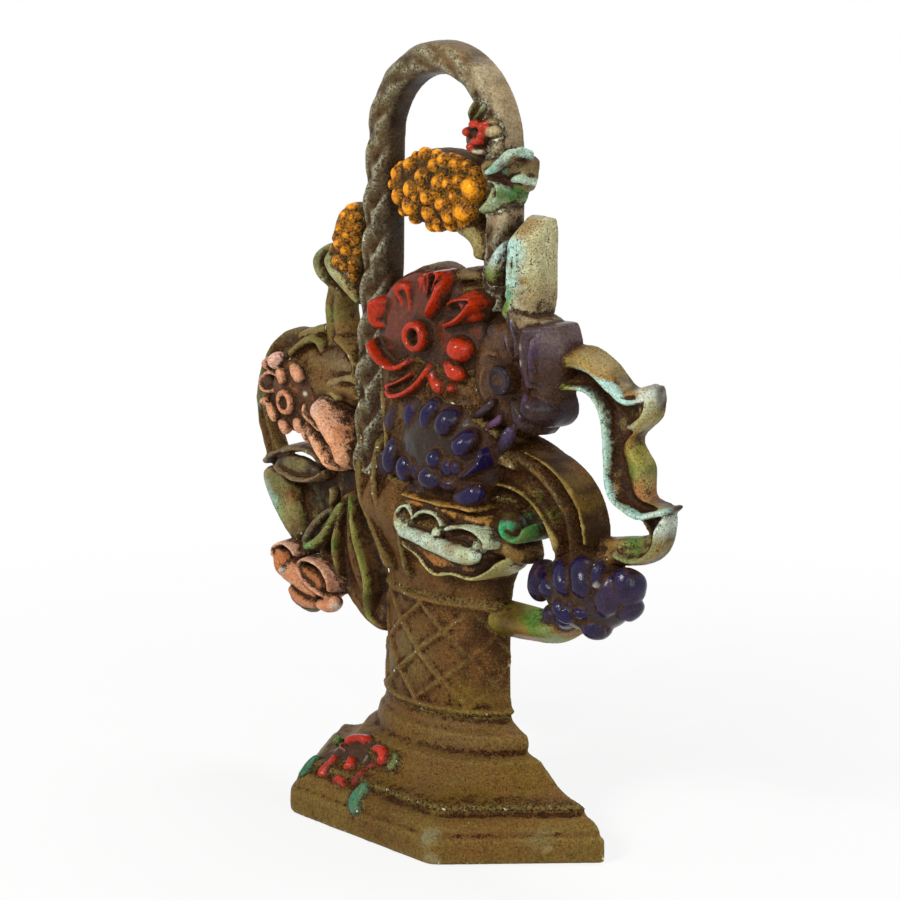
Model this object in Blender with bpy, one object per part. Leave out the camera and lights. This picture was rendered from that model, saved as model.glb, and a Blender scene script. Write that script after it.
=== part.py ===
"""Flower basket doorstop in painted cast iron.

One flat-backed relief casting, modelled as the separate forms that the pattern maker would carve and
set together: a stepped base, a lattice basket, a rope handle, and a bouquet with ribbons at both
sides. Sizes are in millimetres, and the mesh helpers turn them into metres.

A place is given as x (to the viewer's right), d (forward of the flat back) and z (up from the floor).
"""

import math

import bmesh
import bpy
from mathutils import Matrix, Vector

MM = 0.001

# Gap left between neighbouring forms
CLEAR = 0.3

# Base: a half hexagon with its long side at the back, a little shorter at the left
BASE_DEPTH = 45.0
BASE_BACK_RIGHT = 75.5
BASE_BACK_LEFT = 68.5
BASE_FRONT_HALF = 37.0
PLINTH_HEIGHT = 17.2
PLINTH_WALL = 9.0
PLINTH_SHOULDER = 7.0

# Facets round the front of the base and the basket
OUTLINE_FACETS = 24

# Stepped foot between the plinth and the basket
FOOT_HEIGHT = 24.0
FOOT_TORUS_HALF = 38.0

# Basket stem with its diamond lattice, and the bowl that flares above it
STEM_HALF = 30.0
STEM_DEPTH = 17.5
STEM_HEIGHT = 39.5
STEM_TOP_DEPTH = 14.5
BAND_RISE = 1.3
LATTICE_RISE = 0.8
LATTICE_COLUMNS = 4
LATTICE_ROWS = 2
BOWL_HEIGHT = 38.5
BOWL_HALF = 47.5
BOWL_DEPTH = 23.0
BOWL_PLEATS = 6
PLEAT_RISE = 0.9

# Rope handle: an arch on two legs, the left one running down to the bowl's rim
HANDLE_HEIGHT = 270.0
HANDLE_ARCH_RADIUS = 29.3
ROPE_HALF = 5.6
ROPE_LEG_HALF = 7.0
ROPE_WALL = 6.4
ROPE_ROUND = 4.0
ROPE_RIDGE = 0.8
ROPE_TWISTS = 11.0
LEG_SPREAD = 6.5
RIGHT_LEG_LENGTH = 48.0

# Bouquet body behind the flowers
CORE_RIGHT = 43.0
CORE_HEIGHT = 74.1
CORE_WALL = 10.0
CORE_SWELL = 7.0
FLOWER_SEAT = 8.5
ASTER_SEAT = 7.5

# Red flower and its ring
POPPY_X = 1.5
POPPY_Z = 172.0
POPPY_HALF_WIDTH = 28.5
POPPY_HALF_HEIGHT = 22.6
POPPY_WALL = 5.5
POPPY_RISE = 12.0
POPPY_PETALS = 8
RING_RADIUS = 5.4
RING_RISE = 4.4

# Blue-violet aster
ASTER_X = 12.5
ASTER_Z = 133.0
ASTER_HALF_WIDTH = 25.5
ASTER_HALF_HEIGHT = 21.0
ASTER_WALL = 7.0
ASTER_RISE = 18.5
ASTER_PETALS = 13

# Dark purple flower at the right and its button
PURPLE_X = 42.0
PURPLE_Z = 162.8
PURPLE_RADIUS = 21.5
PURPLE_WALL = 13.0
PURPLE_RISE = 18.0
PURPLE_PETALS = 7
BUTTON_RADIUS = 5.0
BUTTON_RISE = 4.2

# Pale upright leaf above the purple flower: x, z and half width along it
LEAF_LINE = ((35.0, 181.0, 9.0), (39.0, 196.0, 9.4), (43.0, 207.0, 6.5), (46.0, 213.5, 2.6))
LEAF_WALL = 11.5

# Ruffled ribbon at the right: its outer edge and its inner edge, x and z of each
RIGHT_RIBBON_EDGES = (
    (60.5, 174.5, 58.5, 161.0), (69.5, 175.0, 69.5, 161.5), (79.0, 171.0, 76.0, 158.5),
    (88.5, 164.2, 79.5, 154.0), (97.5, 166.0, 80.5, 150.0), (99.2, 157.0, 81.0, 146.5),
    (90.8, 148.0, 81.5, 142.0), (96.0, 139.5, 82.0, 137.0), (97.0, 130.5, 84.5, 130.0),
    (104.5, 127.5, 89.0, 126.0), (105.8, 121.0, 96.5, 122.5), (103.0, 113.5, 97.0, 119.0),
    (97.0, 108.5, 92.5, 116.5), (87.0, 105.8, 84.5, 114.8), (76.0, 104.0, 74.5, 112.5),
)
RIBBON_WALL = 10.5
RIBBON_HOLLOW = 5.0

# Fluted sheath that arches down to the round flower at the right: x, z and half width along it
SHEATH_LINE = ((33.0, 136.5, 7.5), (48.0, 131.5, 8.6), (58.5, 122.0, 8.6), (66.0, 108.0, 8.0))
SHEATH_WALL = 10.0
SHEATH_FLUTE = 2.4

# Round blue-violet flower and its short stalk
MUM_X = 71.5
MUM_Z = 95.0
MUM_HALF_WIDTH = 18.5
MUM_HALF_HEIGHT = 15.0
MUM_WALL = 7.0
MUM_RISE = 19.0
MUM_PETALS = 11
STALK_Z = 76.5
STALK_HALF = 6.0
STALK_RISE = 8.0
STALK_WALL = 7.0

# Cream trumpet flower hanging over the bowl
TRUMPET_X = 20.0
TRUMPET_Z = 104.0
TRUMPET_HALF_WIDTH = 27.0
TRUMPET_HALF_HEIGHT = 10.2
TRUMPET_SEAT = 10.0
TRUMPET_WALL = 5.0
TRUMPET_RISE = 12.5
TRUMPET_LOBES = 6
TRUMPET_TURN = -8.0

# Bead clusters: one between the handle's legs, one outside the left leg
BEADS_X = 2.0
BEADS_DROP = 49.5
BEADS_OVERLAP = 3.3
BEADS_HALF_HEIGHT = 14.4
BEADS_WALL = 4.0
BEADS_RISE = 14.0
BEAD_RADIUS = 5.2
BEAD_COUNT = 11
LEFT_BEADS_OUT = 14.2
LEFT_BEADS_DROP = 73.0
LEFT_BEADS_HALF_WIDTH = 9.0
LEFT_BEADS_HALF_HEIGHT = 15.0
LEFT_BEADS_RISE = 10.5
LEFT_BEAD_COUNT = 5

# Bud and small red flower on the handle's right leg, and the pale leaf tips under them
BUD_IN = 8.8
BUD_DROP = 20.5
BUD_HALF_WIDTH = 6.6
BUD_HALF_HEIGHT = 7.0
BUD_WALL = 4.0
BUD_RISE = 11.5
SMALL_RED_IN = 7.3
SMALL_RED_DROP = 31.0
SMALL_RED_RADIUS = 6.8
SMALL_RED_RISE = 14.0
TIPS_DROP = 41.5
TIPS_IN = 7.3
TIPS_OUT = 11.7
TIPS_HALF = 6.6
TIPS_WALL = 13.0

# Cup leaf and stem that carry the left bead cluster: x, z and half width along them
CUP_LINE = ((-42.0, 182.0, 4.6), (-51.5, 179.5, 5.4), (-60.0, 186.0, 5.2), (-62.0, 196.0, 3.4))
CUP_WALL = 9.0
LEFT_STEM_LINE = ((-53.0, 158.0, 6.2), (-54.5, 168.0, 5.6), (-55.5, 180.0, 5.8))
LEFT_STEM_WALL = 8.5

# Leaf mass at the left, with a pink daisy and a pink bell on it
LEAF_MASS_LINE = ((-36.0, 148.0, 12.0), (-58.0, 149.0, 14.0), (-76.0, 149.5, 12.0), (-85.0, 149.0, 7.0))
LEAF_MASS_WALL = 9.0
LEAF_MASS_SWELL = 3.5
LEFT_SEAT = 6.5
DAISY_X = -73.0
DAISY_Z = 139.5
DAISY_RADIUS = 14.6
DAISY_WALL = 4.0
DAISY_RISE = 7.0
DAISY_PETALS = 9
DAISY_RING_RADIUS = 4.3
DAISY_RING_RISE = 3.0
BELL_LINE = ((-61.0, 143.0, 6.2), (-57.5, 135.0, 8.4), (-53.0, 124.0, 8.6), (-49.0, 111.5, 5.6))
BELL_WALL = 12.5

# Ribbon strip at the left: x, z and half width along it
LEFT_RIBBON_LINE = (
    (-70.0, 157.5, 4.2), (-82.0, 157.0, 4.4), (-91.0, 151.5, 4.2), (-96.5, 142.0, 3.8),
    (-98.0, 132.0, 3.6), (-95.5, 123.0, 3.5), (-91.5, 114.5, 3.5),
)
LEFT_STRIP_WALL = 7.5

# Loop of the left ribbon: left edge and right edge, x and z of each
LOOP_EDGES = (
    (-88.0, 116.8, -47.5, 113.5), (-94.5, 110.5, -50.0, 107.0), (-96.0, 104.0, -56.0, 99.5),
    (-93.0, 97.0, -63.0, 92.5), (-88.5, 89.5, -70.0, 86.0), (-86.5, 80.0, -74.0, 78.0),
)
LOOP_FLOOR = 3.0
LOOP_RIM = 10.0
LOOP_BULGE = 13.0

# Fluted leaf below the loop: left edge and right edge, x and z of each
LOWER_LEAF_EDGES = (
    (-51.5, 106.0, -44.0, 108.5), (-57.0, 96.0, -43.0, 97.0), (-62.0, 87.0, -42.0, 87.0),
    (-60.0, 76.0, -38.0, 79.5), (-50.0, 66.5, -33.5, 74.0), (-40.5, 61.0, -29.5, 68.5),
    (-30.5, 58.0, -26.5, 63.0),
)
LOWER_LEAF_WALL = 8.0
LOWER_LEAF_FLUTE = 1.6

# Lobed pink flower at the lower left
LOBED_X = -67.5
LOBED_Z = 72.5
LOBED_HALF_WIDTH = 18.8
LOBED_HALF_HEIGHT = 11.5
LOBED_WALL = 6.0
LOBED_RISE = 13.5
LOBED_LOBES = 5
LOBED_TURN = -22.0

# Small red flower with four leaves on the base
BASE_FLOWER_X = -18.0
BASE_FLOWER_Z = 20.5
BASE_FLOWER_RADIUS = 13.0
BASE_FLOWER_RISE = 4.4
BASE_FLOWER_SINK = 3.2
BASE_FLOWER_TILT = 42.0
BASE_FLOWER_PETALS = 6
BASE_LEAF_RADIUS = 17.5
BASE_LEAF_RISE = 2.6

# Reach of a cutter beyond the front and the back of what it cuts
FRONT_FACE = 60.0
TILTED_REACH = 20.0
BEHIND = 5.0

# Levels worked out from the sizes above
BACK_Y = BASE_DEPTH / 2
FOOT_BOTTOM = PLINTH_HEIGHT + CLEAR
FOOT_TOP = FOOT_BOTTOM + FOOT_HEIGHT
STEM_BOTTOM = FOOT_TOP + CLEAR
STEM_TOP = STEM_BOTTOM + STEM_HEIGHT
BOWL_BOTTOM = STEM_TOP + CLEAR
BOWL_TOP = BOWL_BOTTOM + BOWL_HEIGHT
RIM = BOWL_TOP + CLEAR
ARCH_CENTRE_Z = HANDLE_HEIGHT - HANDLE_ARCH_RADIUS - ROPE_HALF
BASE_LEAN = BASE_BACK_RIGHT - BASE_BACK_LEFT
BEADS_Z = HANDLE_HEIGHT - BEADS_DROP
BEADS_HALF_WIDTH = HANDLE_ARCH_RADIUS - ROPE_HALF + BEADS_OVERLAP
LEFT_BEADS_X = -HANDLE_ARCH_RADIUS - LEFT_BEADS_OUT
LEFT_BEADS_Z = HANDLE_HEIGHT - LEFT_BEADS_DROP
LEG_X = -HANDLE_ARCH_RADIUS - LEG_SPREAD

# Paint of each kind of form: linear red, green, blue, and roughness
PAINTS = {
    "brown": (0.095, 0.055, 0.030, 0.55),
    "olive": (0.140, 0.105, 0.040, 0.50),
    "rope": (0.120, 0.115, 0.080, 0.45),
    "red": (0.520, 0.025, 0.012, 0.30),
    "blue": (0.030, 0.020, 0.110, 0.28),
    "purple": (0.055, 0.030, 0.060, 0.35),
    "yellow": (0.680, 0.260, 0.010, 0.30),
    "pink": (0.480, 0.190, 0.110, 0.50),
    "aqua": (0.330, 0.480, 0.380, 0.42),
    "cream": (0.420, 0.400, 0.240, 0.45),
    "green": (0.080, 0.170, 0.040, 0.45),
}


def place(x, d, z):
    """World position, in metres, of a place given in millimetres."""
    return Vector((x, BACK_Y - d, z)) * MM


def paint(name, kind):
    red, green, blue, roughness = PAINTS[kind]
    material = bpy.data.materials.new(name + "_" + kind)
    material.use_nodes = True
    shader = material.node_tree.nodes["Principled BSDF"]
    shader.inputs["Base Color"].default_value = (red, green, blue, 1.0)
    shader.inputs["Roughness"].default_value = roughness
    shader.inputs["Metallic"].default_value = 0.0
    material.diffuse_color = (red, green, blue, 1.0)
    return material


def loft(name, rings, rising=None):
    """A closed solid through rings that all have the same number of points.

    Where rising(i, level) is given, each facet is folded along a diagonal: upwards to the next point
    where it is true, and downwards where it is false.
    """
    count = len(rings[0])
    points = [place(*point) for ring in rings for point in ring]
    faces = [list(range(count)), list(range(len(points) - count, len(points)))]
    for level in range(len(rings) - 1):
        low = level * count
        for i in range(count):
            j = (i + 1) % count
            corners = (low + i, low + j, low + count + j, low + count + i)
            if rising is None:
                faces.append(corners)
                continue
            a, b, c, e = corners if rising(i, level) else corners[1:] + corners[:1]
            faces.append((a, b, c))
            faces.append((a, c, e))
    mesh = bpy.data.meshes.new(name)
    mesh.from_pydata(points, [], faces)
    shell = bmesh.new()
    shell.from_mesh(mesh)
    bmesh.ops.recalc_face_normals(shell, faces=shell.faces)
    shell.to_mesh(mesh)
    shell.free()
    solid = bpy.data.objects.new(name, mesh)
    bpy.context.scene.collection.objects.link(solid)
    return solid


def finish(solid, kind):
    """Paints a finished form and shades it smooth up to its edges."""
    solid.data.materials.append(paint(solid.name, kind))
    solid.data.shade_smooth()
    solid.data.set_sharp_from_angle(angle=math.radians(38))
    return solid


def helper(solid):
    """Keeps a cutter or a guide out of the model."""
    solid.hide_render = True
    solid.display_type = "WIRE"
    return solid


def spread(count):
    """Evenly spaced values from 0 to 1."""
    return [i / (count - 1) for i in range(count)]


def smooth_line(points, count):
    """Evenly spaced places on a smooth line through the points."""
    ends = [points[0]] + list(points) + [points[-1]]
    fine = []
    for k in range(len(points) - 1):
        a, b, c, e = (Vector(p) for p in ends[k : k + 4])
        for i in range(16):
            t = i / 16
            fine.append(
                0.5 * (2 * b + (c - a) * t + (2 * a - 5 * b + 4 * c - e) * t**2
                       + (3 * b - a - 3 * c + e) * t**3)
            )
    fine.append(Vector(points[-1]))
    reach = [0.0]
    for first, second in zip(fine, fine[1:]):
        reach.append(reach[-1] + (second - first).length)
    places = []
    for t in spread(count):
        goal = t * reach[-1]
        k = next(i for i in range(1, len(reach)) if reach[i] >= goal - 1e-9)
        share = (goal - reach[k - 1]) / (reach[k] - reach[k - 1])
        places.append(fine[k - 1].lerp(fine[k], share))
    return places


def headings(line):
    """The direction of a line at each of its places."""
    last = len(line) - 1
    return [(line[min(i + 1, last)] - line[max(i - 1, 0)]).normalized() for i in range(last + 1)]


def rails(line, steps):
    """Both edges of a strap from its centre line, given as x, z and half width along it."""
    middle = smooth_line(line, steps)
    edges = []
    for i, way in enumerate(headings([Vector(spot[:2]) for spot in middle])):
        side = Vector((-way.y, way.x)) * middle[i][2]
        spot = Vector(middle[i][:2])
        edges.append((spot - side, spot + side))
    return edges


def edge_pairs(pairs, steps):
    """Both edges of a strap from pairs of edge places, given as x and z of each."""
    return [(Vector(pair[2:]), Vector(pair[:2])) for pair in smooth_line(pairs, steps)]


class Strap:
    """A form that runs along two edges in front of the back plane, flat behind and shaped in front.

    front(u, t) is its height above the seat, with u from -1 to 1 across it and t from 0 to 1 along it.
    """

    def __init__(self, edges, front, seat=0.0, across=8):
        self.edges = edges
        self.ways = headings([(a + b) / 2 for a, b in edges])
        self.front = front
        self.seat = seat
        self.across = across

    def ring(self, i, grow, profile):
        low, high = self.edges[i]
        side = (high - low).normalized() * grow
        slide = Vector((0, 0))
        if i == 0:
            slide = -self.ways[i] * grow
        if i == len(self.edges) - 1:
            slide = self.ways[i] * grow
        low = low - side + slide
        high = high + side + slide
        spots = [(low.lerp(high, (u + 1) / 2), d) for u, d in profile(i / (len(self.edges) - 1))]
        return [(spot.x, d, spot.y) for spot, d in spots]

    def profile(self, t):
        face = [(2 * u - 1, self.seat + self.front(2 * u - 1, t)) for u in spread(self.across + 1)]
        return [(-1, self.seat)] + face + [(1, self.seat)]

    def rings(self, grow, profile):
        return [self.ring(i, grow, profile) for i in range(len(self.edges))]

    def solid(self, name):
        return loft(name, self.rings(0.0, self.profile))

    def keep_clear(self, name):
        """The space in front of the seat, for a form that lies over its neighbours."""
        low = self.seat - CLEAR if self.seat > 0 else -BEHIND
        box = [(-1, low), (-1, FRONT_FACE), (1, FRONT_FACE), (1, low)]
        return helper(loft(name, self.rings(CLEAR, lambda t: box)))

    def jacket(self, name):
        """The form itself with a gap round it, for neighbours that reach over it."""
        def section(t):
            rows = [(u, d + CLEAR) for u, d in self.profile(t)]
            return [(-1, -BEHIND)] + rows[1:-1] + [(1, -BEHIND)]
        return helper(loft(name, self.rings(CLEAR, section)))


class Rosette:
    """A round or oval flower, flat behind, with its petals as lobes and furrows.

    front(t, lobe) is the height above the seat: t runs from 1 at the rim to 0 at the centre, and lobe
    from 0 between two petals to 1 along the middle of one. tilt leans the flower's face upwards.
    """

    def __init__(self, x, z, half_width, half_height, petals, front, seat, notch=0.12, turn=0.0,
                 tilt=0.0, depth=0.0, per_petal=4, circles=4, pinch=0.0):
        self.centre = Vector((x, depth, z))
        self.sizes = (half_width, half_height)
        self.petals = petals
        self.front = front
        self.seat = seat
        self.notch = notch
        self.turn = math.radians(turn)
        lean = math.radians(tilt)
        self.out = Vector((0, math.cos(lean), math.sin(lean)))
        self.up = Vector((0, -math.sin(lean), math.cos(lean)))
        self.sides = petals * per_petal
        self.circles = circles
        self.pinch = pinch

    def lobe(self, k):
        return abs(math.cos(math.pi * self.petals * k / self.sides))

    def circle(self, share, height, grow=0.0):
        places = []
        for k in range(self.sides):
            angle = 2 * math.pi * k / self.sides
            lobe = self.lobe(k)
            reach = share * (1 - self.notch * (1 - lobe) ** 2)
            x = math.cos(angle) * (self.sizes[0] * reach + grow)
            y = math.sin(angle) * (self.sizes[1] * reach + grow)
            side = x * math.cos(self.turn) - y * math.sin(self.turn)
            rise = x * math.sin(self.turn) + y * math.cos(self.turn)
            point = self.centre + Vector((side, 0, 0)) + self.up * rise + self.out * height(lobe)
            places.append(tuple(point))
        return places

    def solid(self, name):
        rings = [self.circle(1 - self.pinch, lambda lobe: self.seat)]
        for k in range(self.circles + 1):
            t = 1 - 0.93 * k / self.circles
            rings.append(self.circle(t, lambda lobe: self.seat + self.front(t, lobe)))
        return loft(name, rings)

    def keep_clear(self, name):
        low = self.seat - CLEAR if self.seat > 0 else -BEHIND
        rings = [self.circle(1, lambda lobe: depth, CLEAR) for depth in (low, FRONT_FACE)]
        return helper(loft(name, rings))


def cut(solid, cutters):
    """Lets a form in under its neighbours."""
    for cutter in cutters:
        step = solid.modifiers.new("clear_" + cutter.name, "BOOLEAN")
        step.operation = "DIFFERENCE"
        step.solver = "EXACT"
        step.object = cutter


def half_outline(right, left, depth, roundness, rise=None):
    """One level of the base or the basket: a half hexagon that turns into a half oval.

    rise(k) is an extra height of the surface at point k.
    """
    corner = 0.5
    places = []
    for k in range(OUTLINE_FACETS + 1):
        s = k / OUTLINE_FACETS
        reach = -left if s < 0.5 else right
        s = min(s, 1 - s) * 2
        chamfer = 1 - BASE_FRONT_HALF / (BASE_BACK_LEFT if reach < 0 else BASE_BACK_RIGHT)
        if s < corner:
            hexagon = (1 - chamfer * s / corner, s / corner)
        else:
            hexagon = ((1 - chamfer) * (1 - (s - corner) / (1 - corner)), 1.0)
        angle = s * math.pi / 2
        oval = (math.cos(angle) ** 1.1, math.sin(angle) ** 1.1)
        x = hexagon[0] * (1 - roundness) + oval[0] * roundness
        d = hexagon[1] * (1 - roundness) + oval[1] * roundness
        extra = rise(k) if rise else 0.0
        places.append((x * (reach + math.copysign(extra, reach)), d * (depth + extra)))
    return places


def level(outline, z, grow=0.0):
    """An outline laid at one height. Where it is moved outwards by grow, it also runs on behind."""
    ring = []
    for x, d in outline:
        length = math.hypot(x, d)
        ring.append((x * (1 + grow / length), d * (1 + grow / length), z))
    if grow:
        ring = [(ring[0][0], -BEHIND, z)] + ring + [(ring[-1][0], -BEHIND, z)]
    return ring


def plinth_rings():
    rows = ((0.0, 0.9), (0.9, 0.0), (PLINTH_WALL, 0.0))
    rows += tuple(
        (PLINTH_WALL + (PLINTH_HEIGHT - PLINTH_WALL) * (1 - math.cos(a)) ** 0.8,
         PLINTH_SHOULDER * math.sin(a) ** 1.6)
        for a in (math.radians(30), math.radians(60), math.radians(90))
    )
    side = math.hypot(BASE_BACK_RIGHT - BASE_FRONT_HALF, BASE_DEPTH) / BASE_DEPTH
    return [
        level(half_outline(BASE_BACK_RIGHT - inset * side, BASE_BACK_LEFT - inset * side,
                           BASE_DEPTH - inset, 0.0), z)
        for z, inset in rows
    ]


def foot_rings():
    """Steps of the foot: height share, how far out, how far forward, roundness and lean.

    Out is 0 at the round moulding, 1 at the foot's widest and -1 at the stem.
    """
    side = math.hypot(BASE_BACK_RIGHT - BASE_FRONT_HALF, BASE_DEPTH) / BASE_DEPTH
    widest = BASE_BACK_RIGHT - (PLINTH_SHOULDER + CLEAR) * side - FOOT_TORUS_HALF
    narrowest = FOOT_TORUS_HALF - STEM_HALF
    front = BASE_DEPTH - PLINTH_SHOULDER - CLEAR - STEM_DEPTH
    rows = (
        (0.00, 1.00, 1.00, 0.00, 1.0),
        (0.08, 0.74, 0.85, 0.05, 1.0),
        (0.17, 0.56, 0.70, 0.20, 1.0),
        (0.31, 0.41, 0.59, 0.45, 1.0),
        (0.45, 0.24, 0.42, 0.75, 0.9),
        (0.55, 0.03, 0.27, 1.00, 0.8),
        (0.72, 0.01, 0.20, 1.00, 0.85),
        (0.80, -0.12, 0.15, 1.00, 0.8),
        (0.88, -0.64, 0.08, 1.00, 0.3),
        (0.94, -0.91, 0.02, 1.00, 0.0),
        (1.00, -0.94, 0.01, 1.00, 0.0),
    )
    rings = []
    for share, out, ahead, roundness, lean in rows:
        right = FOOT_TORUS_HALF + out * (widest if out > 0 else narrowest)
        left = right - lean * BASE_LEAN
        outline = half_outline(right, left, STEM_DEPTH + ahead * front, roundness)
        rings.append(level(outline, FOOT_BOTTOM + share * FOOT_HEIGHT))
    return rings


def stem_rings(grow=0.0):
    """The basket's stem: a band at each end and diamonds of raised ribs between them."""
    period = OUTLINE_FACETS // LATTICE_COLUMNS
    rows = LATTICE_ROWS * period
    margin = 0.07
    shares = [0.0, margin * 0.5, margin]
    shares += [margin + (1 - 2 * margin) * (k + 1) / rows for k in range(rows)]
    shares += [1 - margin * 0.5, 1.0]
    rings = []
    for number, share in enumerate(shares):
        row = number - 2
        band = row < 0 or row > rows

        def rise(k):
            on_rib = grow > 0 or (k + row) % period == 0 or (k - row) % period == 0
            return BAND_RISE if band else LATTICE_RISE * on_rib

        depth = STEM_DEPTH + (STEM_TOP_DEPTH - STEM_DEPTH) * share
        waist = STEM_HALF - 0.6 * math.sin(math.pi * share)
        rings.append(level(half_outline(waist, waist, depth, 1.0, rise),
                           STEM_BOTTOM + share * STEM_HEIGHT, grow))
    return rings


def along_rib(k, number):
    """True where a rib of the lattice rises to the right across this facet of the stem."""
    return (k - (number - 2)) % (OUTLINE_FACETS // LATTICE_COLUMNS) == 0


def bowl_rings(grow=0.0):
    """The bowl: a flare with soft upright pleats."""
    flare = ((0.0, 0.0), (0.18, 0.07), (0.30, 0.20), (0.45, 0.50), (0.62, 0.80), (0.80, 0.96), (1.0, 1.0))
    rings = []
    for share, opened in flare:
        def rise(k):
            return PLEAT_RISE * opened * math.cos(2 * math.pi * BOWL_PLEATS * k / OUTLINE_FACETS)

        half = STEM_HALF + (BOWL_HALF - STEM_HALF) * opened
        depth = STEM_TOP_DEPTH + (BOWL_DEPTH - STEM_TOP_DEPTH) * opened
        over = grow if share == 1.0 else 0.0
        rings.append(level(half_outline(half, half, depth, 1.0, rise),
                           BOWL_BOTTOM + share * BOWL_HEIGHT + over, grow))
    return rings


def handle_line():
    """The rope's centre line with its half width: stout left leg, slim arch, right leg."""
    radius = HANDLE_ARCH_RADIUS
    rise = ARCH_CENTRE_Z - RIM
    line = [
        (LEG_X, RIM, ROPE_LEG_HALF),
        (LEG_X + 0.45 * LEG_SPREAD, RIM + 0.4 * rise, ROPE_LEG_HALF),
        (LEG_X + 0.78 * LEG_SPREAD, RIM + 0.68 * rise, (ROPE_LEG_HALF + ROPE_HALF) / 2),
    ]
    for k in range(9):
        angle = math.pi * k / 8
        line.append((-radius * math.cos(angle), ARCH_CENTRE_Z + radius * math.sin(angle), ROPE_HALF))
    line.append((radius, ARCH_CENTRE_Z - 0.55 * RIGHT_LEG_LENGTH, ROPE_HALF))
    line.append((radius - 0.35 * LEG_SPREAD, ARCH_CENTRE_Z - RIGHT_LEG_LENGTH, ROPE_HALF))
    return line


def rope_front(u, t):
    dome = math.sqrt(max(0.0, 1 - u * u))
    twist = math.sin(2 * math.pi * (ROPE_TWISTS * t - 0.45 * u))
    return ROPE_WALL + ROPE_ROUND * dome + ROPE_RIDGE * twist * dome


def core_line():
    """Centre line of the bouquet's body with its half width, drawn in at the top."""
    left = -HANDLE_ARCH_RADIUS - 0.5 * LEG_SPREAD
    middle = (left + CORE_RIGHT) / 2
    full = (CORE_RIGHT - left) / 2
    tall = CORE_HEIGHT
    return (
        (middle, RIM, full), (middle, RIM + 0.5 * tall, full),
        (middle - 2.0, RIM + 0.8 * tall, 0.9 * full), (middle - 4.0, RIM + tall, 0.62 * full),
    )


def core_front(u, t):
    swell = CORE_SWELL * (1 - u * u) * math.sin(math.pi * (0.12 + 0.80 * t))
    return (CORE_WALL + swell) * (1.0 if t < 0.97 else 0.8)


def ribbon_front(u, t):
    """Front of a ruffled ribbon: a sharp inner edge, a hollow, and a round outer edge in waves."""
    hollow = RIBBON_HOLLOW * math.cos(math.pi * (u + 0.35) / 1.3) if -0.95 < u < 0.3 else 0.0
    shoulder = 3.5 * max(0.0, (u - 0.55) / 0.45) ** 1.5
    wave = 1.2 * math.sin(2 * math.pi * 3.2 * t) * (u + 1) / 2
    return RIBBON_WALL - max(0.0, hollow) - shoulder + wave


def strip_front(u, t):
    """Front of the left strip: a soft dip between two edges."""
    return LEFT_STRIP_WALL - 1.6 * (1 - u * u) - 0.8 * math.sin(math.pi * 4 * t)


def loop_front(u, t):
    """Front of the left ribbon's loop: a bulging wall at the left, a rim on top, a deep hollow."""
    if u < -0.1:
        return LOOP_RIM + (LOOP_BULGE - LOOP_RIM) * (1 - ((u + 0.55) / 0.45) ** 2)
    rim = max(0.0, 1 - t / 0.22)
    foot = max(0.0, (t - 0.75) / 0.25)
    return LOOP_FLOOR + (LOOP_RIM - LOOP_FLOOR) * max(rim, foot)


def bead_cluster(name, x, z, half_width, half_height, wall, rise, count):
    """A domed body with beads set in a golden-angle spiral over it."""
    def front(t, lobe):
        return wall + (rise - wall) * math.sqrt(max(0.0, 1 - t * t * 0.96))

    body = Rosette(x, z, half_width - 1.5, half_height - 1.5, 1, front, 0.0, notch=0.0, per_petal=16,
                   circles=2)
    solid = body.solid(name)
    beads = bmesh.new()
    for k in range(count):
        share = math.sqrt((k + 0.5) / count) * 0.9
        angle = k * math.radians(137.508)
        across = share * math.cos(angle)
        along = share * math.sin(angle)
        size = BEAD_RADIUS * (0.86 + 0.24 * math.sin(5.0 * k))
        height = front(share, 1.0) - 0.15 * size
        spot = place(x + across * half_width, height, z + along * half_height)
        bmesh.ops.create_icosphere(
            beads, subdivisions=2, radius=size * MM, matrix=Matrix.Translation(spot)
        )
    mesh = bpy.data.meshes.new(name + "_beads")
    beads.to_mesh(mesh)
    beads.free()
    grains = helper(bpy.data.objects.new(name + "_beads", mesh))
    bpy.context.scene.collection.objects.link(grains)
    join = solid.modifiers.new("beads", "BOOLEAN")
    join.operation = "UNION"
    join.solver = "EXACT"
    join.use_self = True
    join.object = grains
    trim_low = loft(name + "_trim", [
        [(x + s * 99, -FRONT_FACE, z + c * 99) for s, c in ((-1, -1), (1, -1), (1, 1), (-1, 1))],
        [(x + s * 99, 0.0, z + c * 99) for s, c in ((-1, -1), (1, -1), (1, 1), (-1, 1))],
    ])
    cut(solid, [helper(trim_low)])
    return solid, body


def bead_room(name, body):
    """Room round a bead cluster, out to the outermost beads."""
    reach = 0.8 * BEAD_RADIUS
    wide, high = body.sizes
    x, depth, z = body.centre
    return Rosette(
        x, z, wide + reach, high + reach, 1, body.front, 0.0, notch=0.0, per_petal=24
    ).keep_clear(name)


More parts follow.
